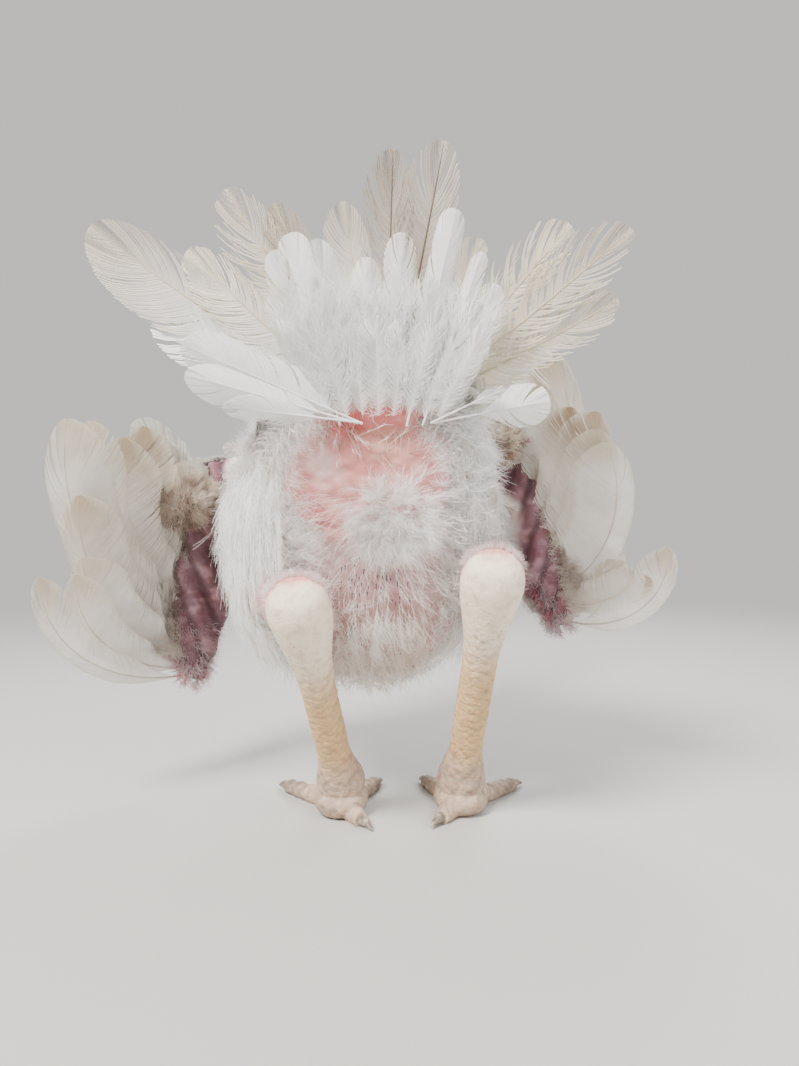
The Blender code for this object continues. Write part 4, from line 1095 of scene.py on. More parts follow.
def head_blob(name, centre, size, detail=3):
    return blob(name, from_head(centre), size, Matrix.Rotation(HEAD_PITCH, 4, "X"), detail)


def lid_parts(side):
    parts = []
    for i in range(20):
        angle = 2 * math.pi * i / 20
        thick = 0.0012 + 0.0012 * max(0.0, math.sin(angle + 0.3)) ** 2
        centre = (side * 0.0169, EYE_OFFSET + 0.0063 * math.cos(angle), EYE_OFFSET + 0.0056 * math.sin(angle))
        parts.append(head_blob("lid", centre, (thick * 1.25, thick, thick), 2))
    return parts


def comb_parts():
    parts = []
    for offset, height, beads, radius in ((0.0, 0.0212, 7, 0.0040), (-0.0058, 0.0176, 6, 0.0032),
                                          (0.0058, 0.0176, 6, 0.0032)):
        for i in range(beads):
            share = (i + 0.5) / beads
            y = COMB_BACK + COMB_LENGTH * share
            z = height - COMB_FALL * share**2.2
            size = radius * (0.62 + 0.38 * math.sin(math.pi * share)) * rng.uniform(0.85, 1.12)
            parts.append(head_blob("comb", (offset, y, z), (size * 0.8, size * 0.78, size * 1.15), 2))
    return parts


# Brow, cheek, earlobe, wattle and corner of the beak on the right: place and half sizes
HEAD_LUMPS = [
    ((0.0118, 0.0060, 0.0125), (0.0056, 0.0120, 0.0030)),
    ((0.0100, 0.0020, -0.0080), (0.0064, 0.0120, 0.0060)),
    ((0.0150, -0.0125, -0.0090), (0.0026, 0.0046, 0.0064)),
    ((0.0066, 0.0180, -0.0172), (0.0027, 0.0046, 0.0066)),
    ((0.0080, 0.0175, -0.0075), (0.0022, 0.0052, 0.0016)),
]


def make_head():
    parts = [loft("skull", head_tube(SKULL), 60, 60)]
    throat = [(0, -0.036, -0.014, 0.0150, 0.0150), (0, -0.016, -0.0085, 0.0150, 0.0135),
              (0, 0.004, -0.0095, 0.0120, 0.0100), (0, 0.018, -0.0095, 0.0085, 0.0070)]
    parts.append(loft("throat", head_tube(throat), 40, 40))
    for side in (-1, 1):
        parts += lid_parts(side)
        parts += [head_blob("lump", (side * x, y, z), size) for (x, y, z), size in HEAD_LUMPS]
    parts.append(head_blob("dewlap", (0, 0.004, -0.0180), (0.0036, 0.0150, 0.0056)))
    parts += comb_parts()
    obj = fused("head_skin", parts, HEAD_VOXEL, 2)
    points, normals = mesh_arrays(obj.data)
    local = into_head(points)
    face = smooth(local[:, 1], -0.020, -0.004)
    creases = wander(points, 0.0042, 51) * 0.00030 + wander(points, 0.0019, 52, 2) * 0.00014
    for side in (-1, 1):
        away = np.linalg.norm(local - (side * 0.0150, EYE_OFFSET, EYE_OFFSET), axis=1)
        creases += 0.00022 * np.sin(away * 3200) * np.exp(-(((away - 0.0115) / 0.0035) ** 2))
    set_points(obj.data, points + normals * (creases * face)[:, None])
    fall = COMB_FALL * np.clip((local[:, 1] - COMB_BACK) / COMB_LENGTH, 0, 1) ** 2.2
    comb = smooth(local[:, 2] - 0.0175 + fall, 0.0, 0.003)
    flush = smooth(wander(points, 0.012, 53), -0.2, 1.0)
    back = local[:, 1] - 1.2 * np.minimum(local[:, 2] + 0.003, 0)
    # A dark ring along the inner rim of the lids round each eye is painted shade
    rim = np.zeros(len(points))
    for side in (-1, 1):
        away = np.hypot(local[:, 1] - EYE_OFFSET, local[:, 2] - EYE_OFFSET) + (local[:, 0] * side < 0.01)
        rim += np.exp(-(((away - 0.0052) / 0.0012) ** 2))
    paint(obj.data, layered(
        FACE_RED, ((0.60, 0.20, 0.16), flush * 0.6), ((0.46, 0.035, 0.03), comb * 0.8),
        (PALE_PINK, 1 - smooth(back, -0.028, -0.012)), ((0.20, 0.07, 0.05), np.clip(rim, 0, 1) * 0.7)))
    finish(obj, "face", "face_skin", ["head", "comb"])
    make_beak()
    for label, side in (("left", -1), ("right", 1)):
        make_eye(label, side)


def beak_surface(lower):
    def at(share, angle):
        share, angle = np.broadcast_arrays(share, angle)
        if lower:
            half = BEAK_HALF * 0.86 * (1 - share) ** 0.6 + 0.0006
            deep = 0.0056 * (1 - share) ** 0.7 + 0.0007
            top = -0.0071 - 0.0020 * share
            y = 0.0175 + share * 0.0210
        else:
            half = BEAK_HALF * (1 - share**1.7) + 0.0005
            deep = 0.0112 * (1 - share**2.0) + 0.0008
            top = -0.0068 + deep - 0.0078 * share**2.4
            y = 0.0180 + 0.0270 * np.sin(share * math.pi * 0.5) ** 0.9
        s, c = squarish(np.sin(angle), 2.5), squarish(np.cos(angle), 2.5)
        if not lower:
            half = half * (1 - 0.45 * np.maximum(c, 0) ** 2)
        return from_head(np.stack([s * half, y, top - deep / 2 + c * deep / 2], -1))
    return at


def make_beak():
    for name, lower in (("upper", False), ("lower", True)):
        obj = loft(f"beak_{name}_horn", beak_surface(lower), 70, 56)
        points, normals = mesh_arrays(obj.data)
        local = into_head(points)
        layer = 0.00012 * np.sin(local[:, 1] * 2600 + 1.5 * wander(points, 0.01, 61))
        nostril = np.zeros(len(points))
        if not lower:
            for side in (-1, 1):
                away = (local - (side * 0.0078, 0.0295, -0.0012)) / (0.0030, 0.0027, 0.0011)
                nostril += np.exp(-((away**2).sum(1)) * 1.2)
        set_points(obj.data, points + normals * (layer - 0.0016 * nostril)[:, None])
        ridge = smooth(local[:, 2], -0.004, 0.004) * (0.0 if lower else 0.6)
        # The nostrils are painted near black in their dents as shade
        paint(obj.data, layered(
            (0.62, 0.44, 0.22), ((0.72, 0.60, 0.42), smooth(local[:, 1], 0.030, 0.046)),
            ((0.30, 0.19, 0.10), ridge * (0.5 + 0.5 * wander(points, 0.004, 62))),
            ((0.05, 0.025, 0.02), np.clip(nostril * 1.3, 0, 1))))
        finish(obj, "beak", "beak_horn", [f"beak_{name}"])


def make_eye(label, side):
    centre = (side * 0.0145, EYE_OFFSET, EYE_OFFSET)
    obj = head_blob(f"eye_ball_{label}", centre, EYE_SIZE, 5)
    points, _ = mesh_arrays(obj.data)
    local = (into_head(points) - centre) / EYE_SIZE
    away = np.hypot(local[:, 1], local[:, 2]) + (local[:, 0] * side < 0) * 2.0
    turn = np.arctan2(local[:, 2], local[:, 1])
    streak = 0.5 + 0.5 * np.sin(turn * 37 + 3 * np.sin(turn * 5))
    # The near-black band round the iris, where the lids meet the eye, is painted shadow of the lids
    iris = layered((0.42, 0.22, 0.06), ((0.58, 0.38, 0.14), streak),
                   ((0.22, 0.07, 0.02), smooth(away, 0.56, 0.72)),
                   ((0.03, 0.012, 0.01), smooth(away, 0.76, 0.84)))
    paint(obj.data, mix((0.004, 0.004, 0.005), iris, smooth(away, 0.38, 0.43)))
    finish(obj, "eye", "eye", [f"eye_{label}"])


# Coat

SOFT = {"lead": 0.5, "layer": 0.0002}
CONTOURS = [vane_template(19, 2, seed, lean=0.15, start=0.10, splits=2, fray=0.25, loose=0.45, tip=0.66,
                          **SOFT) for seed in (101, 102, 103)]
COVERTS = [vane_template(30, 3, seed, start=0.08, fray=0.20, loose=0.25, tip=0.70, **SOFT)
           for seed in (111, 112, 113)]
HACKLES = [vane_template(22, 2, seed, lean=0.24, splits=2, fray=0.22, loose=0.30, tip=0.40, **SOFT)
           for seed in (121, 122)]
PLUMES = [plume_template(24, seed, width=0.0065) for seed in (131, 132, 133, 134)]
WISPS = [plume_template(6, seed, 0.30, 0.3, 0.0075) for seed in (141, 142, 143)]
SLEEK = [plume_template(22, seed, 0.15, 0.25, 0.006) for seed in (151, 152, 153)]
FUZZ = [plume_template(7, seed, droop=0.3, width=0.028) for seed in (161, 162)]
SMALL_SHAFT = shaft_template(3, 0.00022)
PIN_SHAFT = shaft_template(5, 0.0005)

# Tail feathers: degrees from upright towards the right, length, width, colour, tip, shaft, splits,
# fray and barbs on each side
RECTRICES = [
    (-69, 0.108, 0.029, FLUFF, FLUFF, SHAFT_CREAM, 3, 0.15, 120),
    (-59, 0.156, 0.038, WHITE, GREY_BEIGE, SHAFT_CREAM, 3, 0.06, 140),
    (-50, 0.112, 0.028, WHITE, CREAM, SHAFT_CREAM, 4, 0.25, 110),
    (-34, 0.124, 0.032, CREAM, GREY_BEIGE, SHAFT_CREAM, 5, 0.40, 110),
    (-26, 0.108, 0.026, GREY_BEIGE, (0.36, 0.29, 0.21), SHAFT_CREAM, 4, 0.30, 100),
    (-10, 0.100, 0.024, WHITE, GREY_BEIGE, SHAFT_CREAM, 2, 0.10, 110),
    (2, 0.124, 0.026, GREY_BEIGE, TAUPE, SHAFT_DARK, 5, 0.45, 100),
    (12, 0.130, 0.030, TAUPE, GREY_BEIGE, SHAFT_DARK, 4, 0.30, 120),
    (27, 0.090, 0.024, CREAM, GREY_BEIGE, SHAFT_CREAM, 5, 0.50, 46),
    (44, 0.118, 0.030, CREAM, CREAM, SHAFT_CREAM, 6, 0.50, 52),
    (54, 0.138, 0.032, CREAM, GREY_BEIGE, SHAFT_CREAM, 5, 0.40, 60),
    (66, 0.112, 0.030, CREAM, GREY_BEIGE, SHAFT_CREAM, 5, 0.40, 60),
]

# Rows of tail coverts: count, first and last degrees, length, width, lift of their roots, fray, loose
# share and bluntness. The first three rows are the white puff behind, the last lies over the back.
TAIL_COVERTS = [
    (6, -17, 22, 0.086, 0.0170, -0.0085, 0.10, 0.45, 3.5),
    (8, -24, 27, 0.070, 0.0180, -0.0125, 0.30, 0.60, 2.5),
    (8, -27, 30, 0.054, 0.0170, -0.0170, 0.25, 0.50, 2.0),
    (11, -62, 62, 0.070, 0.0210, 0.0100, 0.08, 0.40, 2.0),
]

# Single white feathers round the puff: degrees, place across, length, width, where the vane starts,
# bluntness, curl and twist
SINGLE_FEATHERS = [
    (-15, -0.022, 0.094, 0.0180, 0.10, 8.0, 0.15, 0.3),
    (13, 0.012, 0.104, 0.0150, 0.20, 8.0, 0.10, -0.4),
    (19, 0.020, 0.086, 0.0090, 0.20, 8.0, 0.10, 0.2),
    (-66, -0.012, 0.092, 0.0240, 0.16, 3.0, -0.20, 0.25),
    (-74, -0.014, 0.084, 0.0210, 0.22, 2.0, -0.30, -0.30),
    (-83, -0.012, 0.066, 0.0150, 0.30, 2.0, -0.45, 0.50),
    (79, 0.026, 0.056, 0.0210, 0.40, 3.0, -0.30, 0.0),
    (64, 0.024, 0.040, 0.0080, 0.50, 2.0, -0.60, 0.4),
]


def grow(flock, templates, root, along, normal, length, width, **looks):
    """Shares roots out between templates. Values with one for each root are split with them."""
    looks.update(root=root, along=along, normal=normal, length=length, width=width)
    pick = rng.integers(0, len(templates), len(root))
    for k, template in enumerate(templates):
        own = {}
        for key, value in looks.items():
            split = isinstance(value, np.ndarray) and len(value) == len(root)
            own[key] = value[pick == k] if split else value
        flock.add(template, **own)


def lay(normal, along, rise, pull=(0, 0, -0.25)):
    """Directions and faces of feathers that rise from the skin by an angle, pulled a little one way."""
    along = along + np.asarray(pull)
    along = unit(along - normal * (along * normal).sum(-1, keepdims=True))
    rise = np.asarray(rise)[..., None]
    return along * np.cos(rise) + normal * np.sin(rise), normal * np.cos(rise) - along * np.sin(rise)


def plant(flock, templates, root, normal, along, rise, length, slim=1.0, pull=(0, 0, -0.25), lifted=0.0,
          scale=1.0, tone=None, shaft=None, **looks):
    """Grows feathers whose rise in degrees and length are drawn from two ranges.

    lifted is added to the rise, scale multiplies the length, and slim is the width as a share of it.
    They are white fluff, or have the colours that tone makes for their roots. Returns how they lie.
    """
    way, face = lay(normal, along, np.radians(lifted + rng.uniform(*rise, len(root))), pull)
    size = scale * rng.uniform(*length, len(root))
    looks["colour"] = tone(root) if tone else FLUFF
    grow(flock, templates, root, way, face, size, size * slim, **looks)
    if shaft:
        flock.add(shaft, root, way, face, size, size, **looks)
    return way, face, size


def tints(points, seed, other=CREAM, share=0.25):
    """Colours that wander from white to another tone over the bird and from feather to feather."""
    amount = smooth(wander(points, 0.06, seed), -0.2, 1.2) * share + rng.uniform(0, 0.10, len(points))
    return mix(WHITE, other, np.clip(amount, 0, 1))


def chosen_of(chance, *arrays):
    keep = rng.random(len(chance)) < chance
    return [array[keep] for array in arrays]


def on_skin(tree, places):
    """Roots just under the skin nearest to some places, with its normals there."""
    found = [tree.find_nearest(Vector(place)) for place in places + HOME]
    normal = np.array([facing for _, facing, _, _ in found])
    return np.array([place for place, _, _, _ in found]) - HOME - normal * ROOT_DEPTH, normal


def near_skin(tree, root, normal):
    """Roots and normals, with those that lie deep under the skin lifted to it."""
    lifted, facing = on_skin(tree, root)
    deep = ((lifted - root) * facing).sum(-1, keepdims=True) > 0.001
    return np.where(deep, lifted, root), np.where(deep, facing, normal)


def dress_torso(coat, down, tree):
    """Body feathers, loose down behind and above, and long sleek feathers on the flanks."""
    share, angle = scattered(38, 68, 0.015, 0.985)
    here, normal, along = surface_frame(torso_at, share, angle)
    girth = np.clip(read_rows(TORSO, share)[:, 3] / 0.072, 0.3, 1)
    girth = np.where(share > 0.7, np.maximum(girth, 0.85), girth)
    belly = smooth(0.160 - here[:, 2], 0.0, 0.04) * smooth(-here[:, 1], -0.03, 0.03)
    rump = smooth(-here[:, 1], 0.075, 0.095)
    side_on = smooth(np.abs(here[:, 0] - VENT_AT[0]), 0.040, 0.060) * smooth(-here[:, 1], 0.0, 0.035)
    clear = (1 - belly) * (1 - rump) * (1 - 0.85 * side_on)
    chance = girth * (1 - smooth(bareness(here), 0.08, 0.45)) * clear
    here, normal, along = chosen_of(chance, here, normal, along)
    rear = smooth(-here[:, 1], 0.03, 0.09)
    back = smooth(normal[:, 2], 0.2, 0.8)
    root = here - normal * COAT_DEPTH
    front = here[:, 1] > 0.05
    root[front], normal[front] = near_skin(tree, root[front], normal[front])
    plant(coat, CONTOURS, root, normal, along, (-3, 4), (0.85, 1.15), 0.56 - 0.08 * back, (0, 0, -0.30),
          9 + 10 * rear, 0.027 + 0.012 * back, lambda places: tints(places, 71), SMALL_SHAFT,
          curl=math.radians(16))

    share, angle = scattered(44, 104, 0.0, 0.62)
    here, normal, along = surface_frame(torso_at, share, angle)
    behind = smooth(-here[:, 1], -0.02, 0.02)
    offset = here[:, 0] - VENT_AT[0]
    flank = smooth(np.abs(offset), 0.036, 0.050) * behind * smooth(here[:, 2], 0.105, 0.135)
    above = smooth(here[:, 2], 0.222, 0.236) * smooth(share, 0.08, 0.12)
    lower = smooth(0.150 - here[:, 2], 0, 0.04) * behind
    chance = np.clip(flank + above * behind + 0.16 * lower, 0, 1) * (1 - smooth(bareness(here), 0.35, 0.7))
    here, normal, along = chosen_of(chance, here, normal, along)
    root = here - normal * COAT_DEPTH * (1 - bareness(here)[:, None])
    plant(down, PLUMES, root, normal, along, (12, 48), (0.015, 0.026), pull=(0, 0, -0.7),
          curl=math.radians(40))

    # Long sleek feathers that hang down the left flank, and a few down the right
    x = np.concatenate([rng.uniform(-0.104, -0.058, 460), rng.uniform(0.046, 0.072, 120)])
    z = rng.uniform(0.118, 0.215, len(x))
    here, normal = rear_places(x, z, 0.55)
    plant(down, SLEEK, here - normal * 0.003, normal, (0.0, -0.15, -1.0), (5, 17), (0.026, 0.040),
          pull=(0, 0, 0), curl=0.35)


def rear_places(x, z, far=0.5):
    """Places on the torso's rear nearest to x and z, with their normals. far is how much of it counts."""
    share, angle = np.meshgrid(np.linspace(0, far, 150), np.linspace(0, 2 * math.pi, 220, endpoint=False))
    here, normal, _ = surface_frame(torso_at, share.ravel(), angle.ravel())
    nearest = [int(np.argmin(np.hypot(here[:, 0] - a, here[:, 2] - b))) for a, b in zip(x, z)]
    return here[nearest], normal[nearest]


def dress_vent(down):
    """Fine filaments round the bare patch, a hanging white tuft, waxy quills and dark pin specks."""
    many = 900
    x = rng.uniform(-0.062, 0.050, many)
    z = rng.uniform(0.088, 0.232, many)
    bald = np.hypot((x + 0.020) / 0.036, (z - 0.212) / 0.020) < 1
    x, z = x[~bald], z[~bald]
    many = len(x)
    here, normal = rear_places(x, z)
    outward = unit(np.stack([x - TUFT_AT[0], np.zeros(many), (z - TUFT_AT[1]) * 0.8 - 0.006], -1))
    plant(down, WISPS, here - normal * 0.001, normal, outward, (8, 30), (0.010, 0.020), curl=0.5)

    many = 330
    turn = rng.uniform(0, 2 * math.pi, many)
    reach = 0.016 * np.sqrt(rng.random(many))
    x = TUFT_AT[0] + reach * np.sin(turn) * 1.1
    z = TUFT_AT[1] + reach * np.cos(turn)
    here, normal = rear_places(x, z)
    outward = np.stack([rng.normal(0, 0.8, many), np.zeros(many), rng.normal(-0.3, 0.8, many)], -1)
    outward += np.stack([np.sin(turn), np.zeros(many), np.cos(turn)], -1) * reach[:, None] * 90
    plant(down, PLUMES, here - normal * 0.002, normal, unit(outward), (20, 65), (0.010, 0.019),
          pull=(0, 0, -0.2), curl=0.6)

    many = 200
    here, normal = rear_places(rng.normal(-0.004, 0.018, many), rng.uniform(0.082, 0.128, many))
    plant(down, PLUMES, here - normal * 0.002, normal, (0, 0, -1.0), (8, 34), (0.012, 0.020), curl=0.5,
          tone=lambda root: mix(FLUFF, (0.82, 0.75, 0.66), rng.random(len(root))))

    many = 60
    here, normal = rear_places(rng.uniform(-0.024, 0.014, many), rng.uniform(0.132, 0.160, many))
    way, face = lay(normal, (0, 0, -1.0), math.radians(38))
    length = rng.uniform(0.0015, 0.0030, many)
    down.add(shaft_template(3, 0.00045), here, way, face, length, length, colour=(0.12, 0.11, 0.12))

    many = 60
    x = rng.uniform(-0.030, 0.034, many)
    here, normal = rear_places(x, rng.uniform(0.222, 0.240, many) + 0.15 * np.minimum(x, 0.01))
    outward = unit(np.stack([0.5 + x * 20, np.zeros(many), rng.uniform(-1.0, 0.5, many)], -1))
    way, face = lay(normal, outward, np.radians(rng.uniform(14, 40, many)), (0, 0, 0))
    length = rng.uniform(0.006, 0.017, many)
    colour = mix((0.86, 0.70, 0.62), (0.74, 0.40, 0.34), rng.random(many))
    down.add(PIN_SHAFT, here - normal * 0.001, way, face, length, length, curl=0.9, colour=colour, tip=FLUFF)
    grow(down, WISPS, here + way * length[:, None] * 0.7, way, face, length * 0.8, length * 0.8, colour=FLUFF)


def dress_neck(coat, tree):
    """Long narrow feathers down the neck, and short ones over the back of the skull."""
    share, angle = scattered(33, 32, 0.0, 1.0)
    here, normal, along = surface_frame(neck_at, share, angle)
    shallow = smooth(1 - share[:, None], 0.02, 0.16)
    root, normal = near_skin(tree, here - normal * NECK_INSET * shallow, normal)
    plant(coat, HACKLES, root, normal, along, (5, 11), (0.85, 1.15), 0.30, (0, 0, -0.1),
          scale=0.042 - 0.021 * share + 0.020 * np.exp(-share / 0.12),
          tone=lambda places: tints(places, 73, share=0.35), shaft=SMALL_SHAFT, curl=math.radians(14))

    share, angle = scattered(24, 46, 0.0, 0.44)
    here, normal, along = surface_frame(head_tube(SKULL), share, angle)
    here, normal, along, share = chosen_of(1.5 - 2.9 * share, here, normal, along, share)
    plant(coat, HACKLES, here - normal * 0.0006, normal, along, (4, 16), (0.8, 1.1), 0.26, (0, -0.5, -0.9),
          scale=0.018 - 0.030 * share, tone=lambda _: tints(here, 74, share=0.2), curl=0.4)


def dress_breast(coat, tree):
    """A cape where the neck meets the body, and the blunt front of the breast below it."""
    many = 520
    here, _, along = surface_frame(neck_at, rng.uniform(0.0, 0.18, many), rng.uniform(0, 2 * math.pi, many))
    cape = here + along * rng.uniform(0, 0.042, many)[:, None]
    blunt, _, _ = surface_frame(torso_at, rng.uniform(0.984, 1.0, many), rng.uniform(0, 2 * math.pi, many))
    along = np.concatenate([along, np.tile((0.0, -0.3, -1.0), (many, 1))])
    root, normal = on_skin(tree, np.concatenate([cape, blunt]))
    plant(coat, CONTOURS, root, normal, along, (6, 15), (0.026, 0.038), 0.5, (0, 0, -0.2), curl=0.25,
          tone=lambda places: tints(places, 78, share=0.2))


def dress_thigh(coat, down, leg):
    """Feathers and down on the thigh where they show, and fuzz round the hock."""
    share, angle = scattered(19, 26, 0.10, 0.98)
    here, normal, back_up = surface_frame(thigh_surface(leg), share, angle)
    hidden = np.hypot((here[:, 0] - BODY_X) / 0.083, (here[:, 2] - 0.176) / 0.090) < 0.86
    behind = smooth(-normal[:, 1], 0.0, 0.6) * smooth(0.02 - here[:, 1], 0, 0.04)
    chance = np.where(hidden & (here[:, 1] > -0.085) & (here[:, 1] < -0.01), 0.0, 1 - 0.62 * behind)
    here, normal, back_up, share = chosen_of(chance, here, normal, back_up, share)
    root = here - normal * THIGH_INSET * (1.1 - 0.7 * share[:, None])
    way, face, length = plant(coat, CONTOURS, root, normal, -back_up, (9, 18), (0.85, 1.15), 0.55,
                              scale=0.024 * (1 - 0.42 * share), curl=0.3,
                              tone=lambda places: tints(places, 75, (0.58, 0.47, 0.42), 0.4))
    root, way, face, length = chosen_of(np.full(len(root), 0.9), root, way, face, length * 0.9)
    grow(down, PLUMES, root, way, face, length, length, curl=0.5, colour=FLUFF)

    start, ahead, _ = shank_line(leg)
    many = 620
    turn = rng.uniform(-1.5, 1.5, many)
    across = unit(np.cross(ahead, (0, 1, 0)))
    upward = np.cross(across, ahead)
    away = turned(upward, across, turn)
    along = rng.uniform(0.0, 0.009, many)
    sides = rng.random(many) < 0.25
    turn = np.where(sides, np.sign(turn) * rng.uniform(1.4, 1.9, many), turn)
    along = np.where(sides, rng.uniform(0.004, 0.036, many), along)
    girth = np.interp(along, (0.0, 0.005, 0.014, 0.030), (0.0085, 0.0130, 0.0155, 0.0148))
    root = start + ahead * along[:, None] + away * girth[:, None]
    way = unit(ahead * rng.uniform(-0.9, 0.7, many)[:, None] + away)
    length = rng.uniform(0.0022, 0.0050, many)
    fuzz = mix((0.80, 0.60, 0.58), FLUFF, rng.random(many))
    grow(down, FUZZ, root, way, away, length, length, curl=0.5, colour=fuzz)


def wing_frame(wing):
    side = wing["side"]
    face = unit((side * math.sin(WING_YAW), math.cos(WING_YAW), math.sin(WING_LEAN)))
    out = np.array((side * math.cos(WING_YAW), -math.sin(WING_YAW), 0.0))
    up = np.cross(face, out)
    return face, out, unit(up if up[2] > 0 else -up)


def flight_feather(flock, wing, seed, root, start, bend, length, width, lead, stain):
    """One closed, cupped blade with its shaft. It starts at degrees from upright and bends by more."""
    face, out, up = wing_frame(wing)
    way = turned(up, out, math.radians(start))
    vane = vane_template(150, 5, seed, lean=0.15, start=0.07, splits=1, fray=0.02 + 0.05 * stain, loose=0.08,
                         lead=lead, layer=0.00002, tip=0.80, gap=0.006)
    sweep = math.radians(bend) * wing["side"]
    form = {"curl": FLIGHT_CURL, "sweep": sweep, "camber": 0.34, "strips_uv": True}
    flock.add(vane, root, way, face, length, width, colour=mix(FLUFF, CREAM, 0.15 + 0.3 * stain),
              tip=mix(CREAM, TAN, stain), tip_from=0.82 - 0.25 * stain, edge=mix(FLUFF, CREAM, 0.8), **form)
    flock.add(shaft_template(18, 0.0008), root, way, face, length, width, colour=(0.84, 0.77, 0.66), **form)


def covert_rows(flock, wing, start, end, angles, rows, count):
    """Rows of small feathers over a wing bone, from (offset, length, lift) for each row."""
    face, out, up = wing_frame(wing)
    for offset, length, lift in rows:
        share = (np.arange(count) + rng.uniform(0.2, 0.8, count)) / count
        way = turned(up, out, np.radians(angles[0] + (angles[1] - angles[0]) * share))
        root = start + (end - start) * share[:, None] + way * offset + face * lift
        size = length * rng.uniform(0.85, 1.12, count)
        grow(flock, COVERTS, root, unit(way + face * 0.12), face, size, size * 0.42,
             curl=math.radians(22), colour=tints(root, 76, share=0.5))


def make_wing(flight, coat, down, wing, tree):
    face, _, _ = wing_frame(wing)
    _, elbow, wrist, finger = arm_joints(wing)
    lead = 0.32 if wing["side"] > 0 else 0.68
    for i, (share, start, bend, length, width, stain) in enumerate(wing["primaries"]):
        root = wrist + (finger - wrist) * share + face * (i + 0.5) * FEATHER_STEP
        flight_feather(flight, wing, 300 + i, root, start, bend, length, width, lead, stain)
    near_wrist, near_elbow = (np.array(ends) for ends in wing["secondaries"])
    for i in range(SECONDARIES):
        share = (i + 0.5) / SECONDARIES
        start, bend, length = near_wrist + (near_elbow - near_wrist) * share
        root = wrist + (elbow - wrist) * share - face * (i + 0.5) * FEATHER_STEP
        flight_feather(flight, wing, 330 + i, root, start + rng.uniform(-2, 2), bend,
                       length * rng.uniform(0.92, 1.0), SECONDARY_WIDTH, 0.42, rng.uniform(0, 0.5))
    upper_rows = [(0.010, 0.056, 0.0072), (0.004, 0.042, 0.0085), (0.0, 0.030, 0.0100),
                  (-0.006, 0.022, 0.0105)]
    lesser_rows = [(-0.014, 0.022, 0.0095), (-0.022, 0.020, 0.0085), (-0.030, 0.020, 0.0070),
                   (-0.036, 0.018, 0.0050)]
    chords = [start - bend / 2 for start, bend, _ in wing["secondaries"]]
    covert_rows(coat, wing, wrist, elbow, chords, upper_rows, 12)
    chords = [start - bend / 2 for _, start, bend, *_ in (wing["primaries"][0], wing["primaries"][-1])]
    covert_rows(coat, wing, wrist, finger, chords, upper_rows, 11)
    covert_rows(coat, wing, wrist, elbow, (60, 85), lesser_rows, 18)
    covert_rows(coat, wing, wrist, finger, (60, 85), lesser_rows[:2], 14)
    dress_arm(coat, wing, tree)
    dress_underwing(down, wing)


def dress_arm(coat, wing, tree):
    """Small feathers over the upper arm and the front of the shoulder."""
    side = wing["side"]
    shoulder, elbow, _, _ = arm_joints(wing)

    # Upper arm and shoulder, whose feathers lie backwards over the flank
    many = 380
    along = rng.random(many)
    turn = rng.uniform(-1.8, 1.8, many)
    inner = shoulder - np.array((side * 0.008, 0, 0))
    normal = unit(np.stack([side * 0.5 + 0 * turn, np.cos(turn), np.sin(turn)], -1))
    root, normal = on_skin(tree, inner + (elbow - inner) * along[:, None] + normal * 0.018)
    plant(coat, CONTOURS, root, normal, (side * 0.75, -0.5, 0.15), (6, 16), (0.024, 0.040), 0.55,
          scale=1 - 0.45 * along, tone=lambda places: tints(places, 77), curl=0.5)

    # Small feathers on skin that faces forward, beside the breast
    many = 1100
    places = np.stack([side * rng.uniform(0.050, 0.130, many) + BODY_X, rng.uniform(-0.02, 0.10, many),
                       rng.uniform(0.09, 0.25, many)], -1)
    root, normal = on_skin(tree, places)
    wanted = (normal[:, 1] > 0.15) & (np.abs(root[:, 0] - BODY_X) > 0.066) & (root[:, 2] > 0.135)
    root, normal = chosen_of(wanted, root, normal)
    plant(coat, CONTOURS, root, normal, (side * 0.4, -0.3, -0.8), (6, 14), (0.016, 0.024), 0.5, curl=0.3,
          tone=lambda places: tints(places, 80))


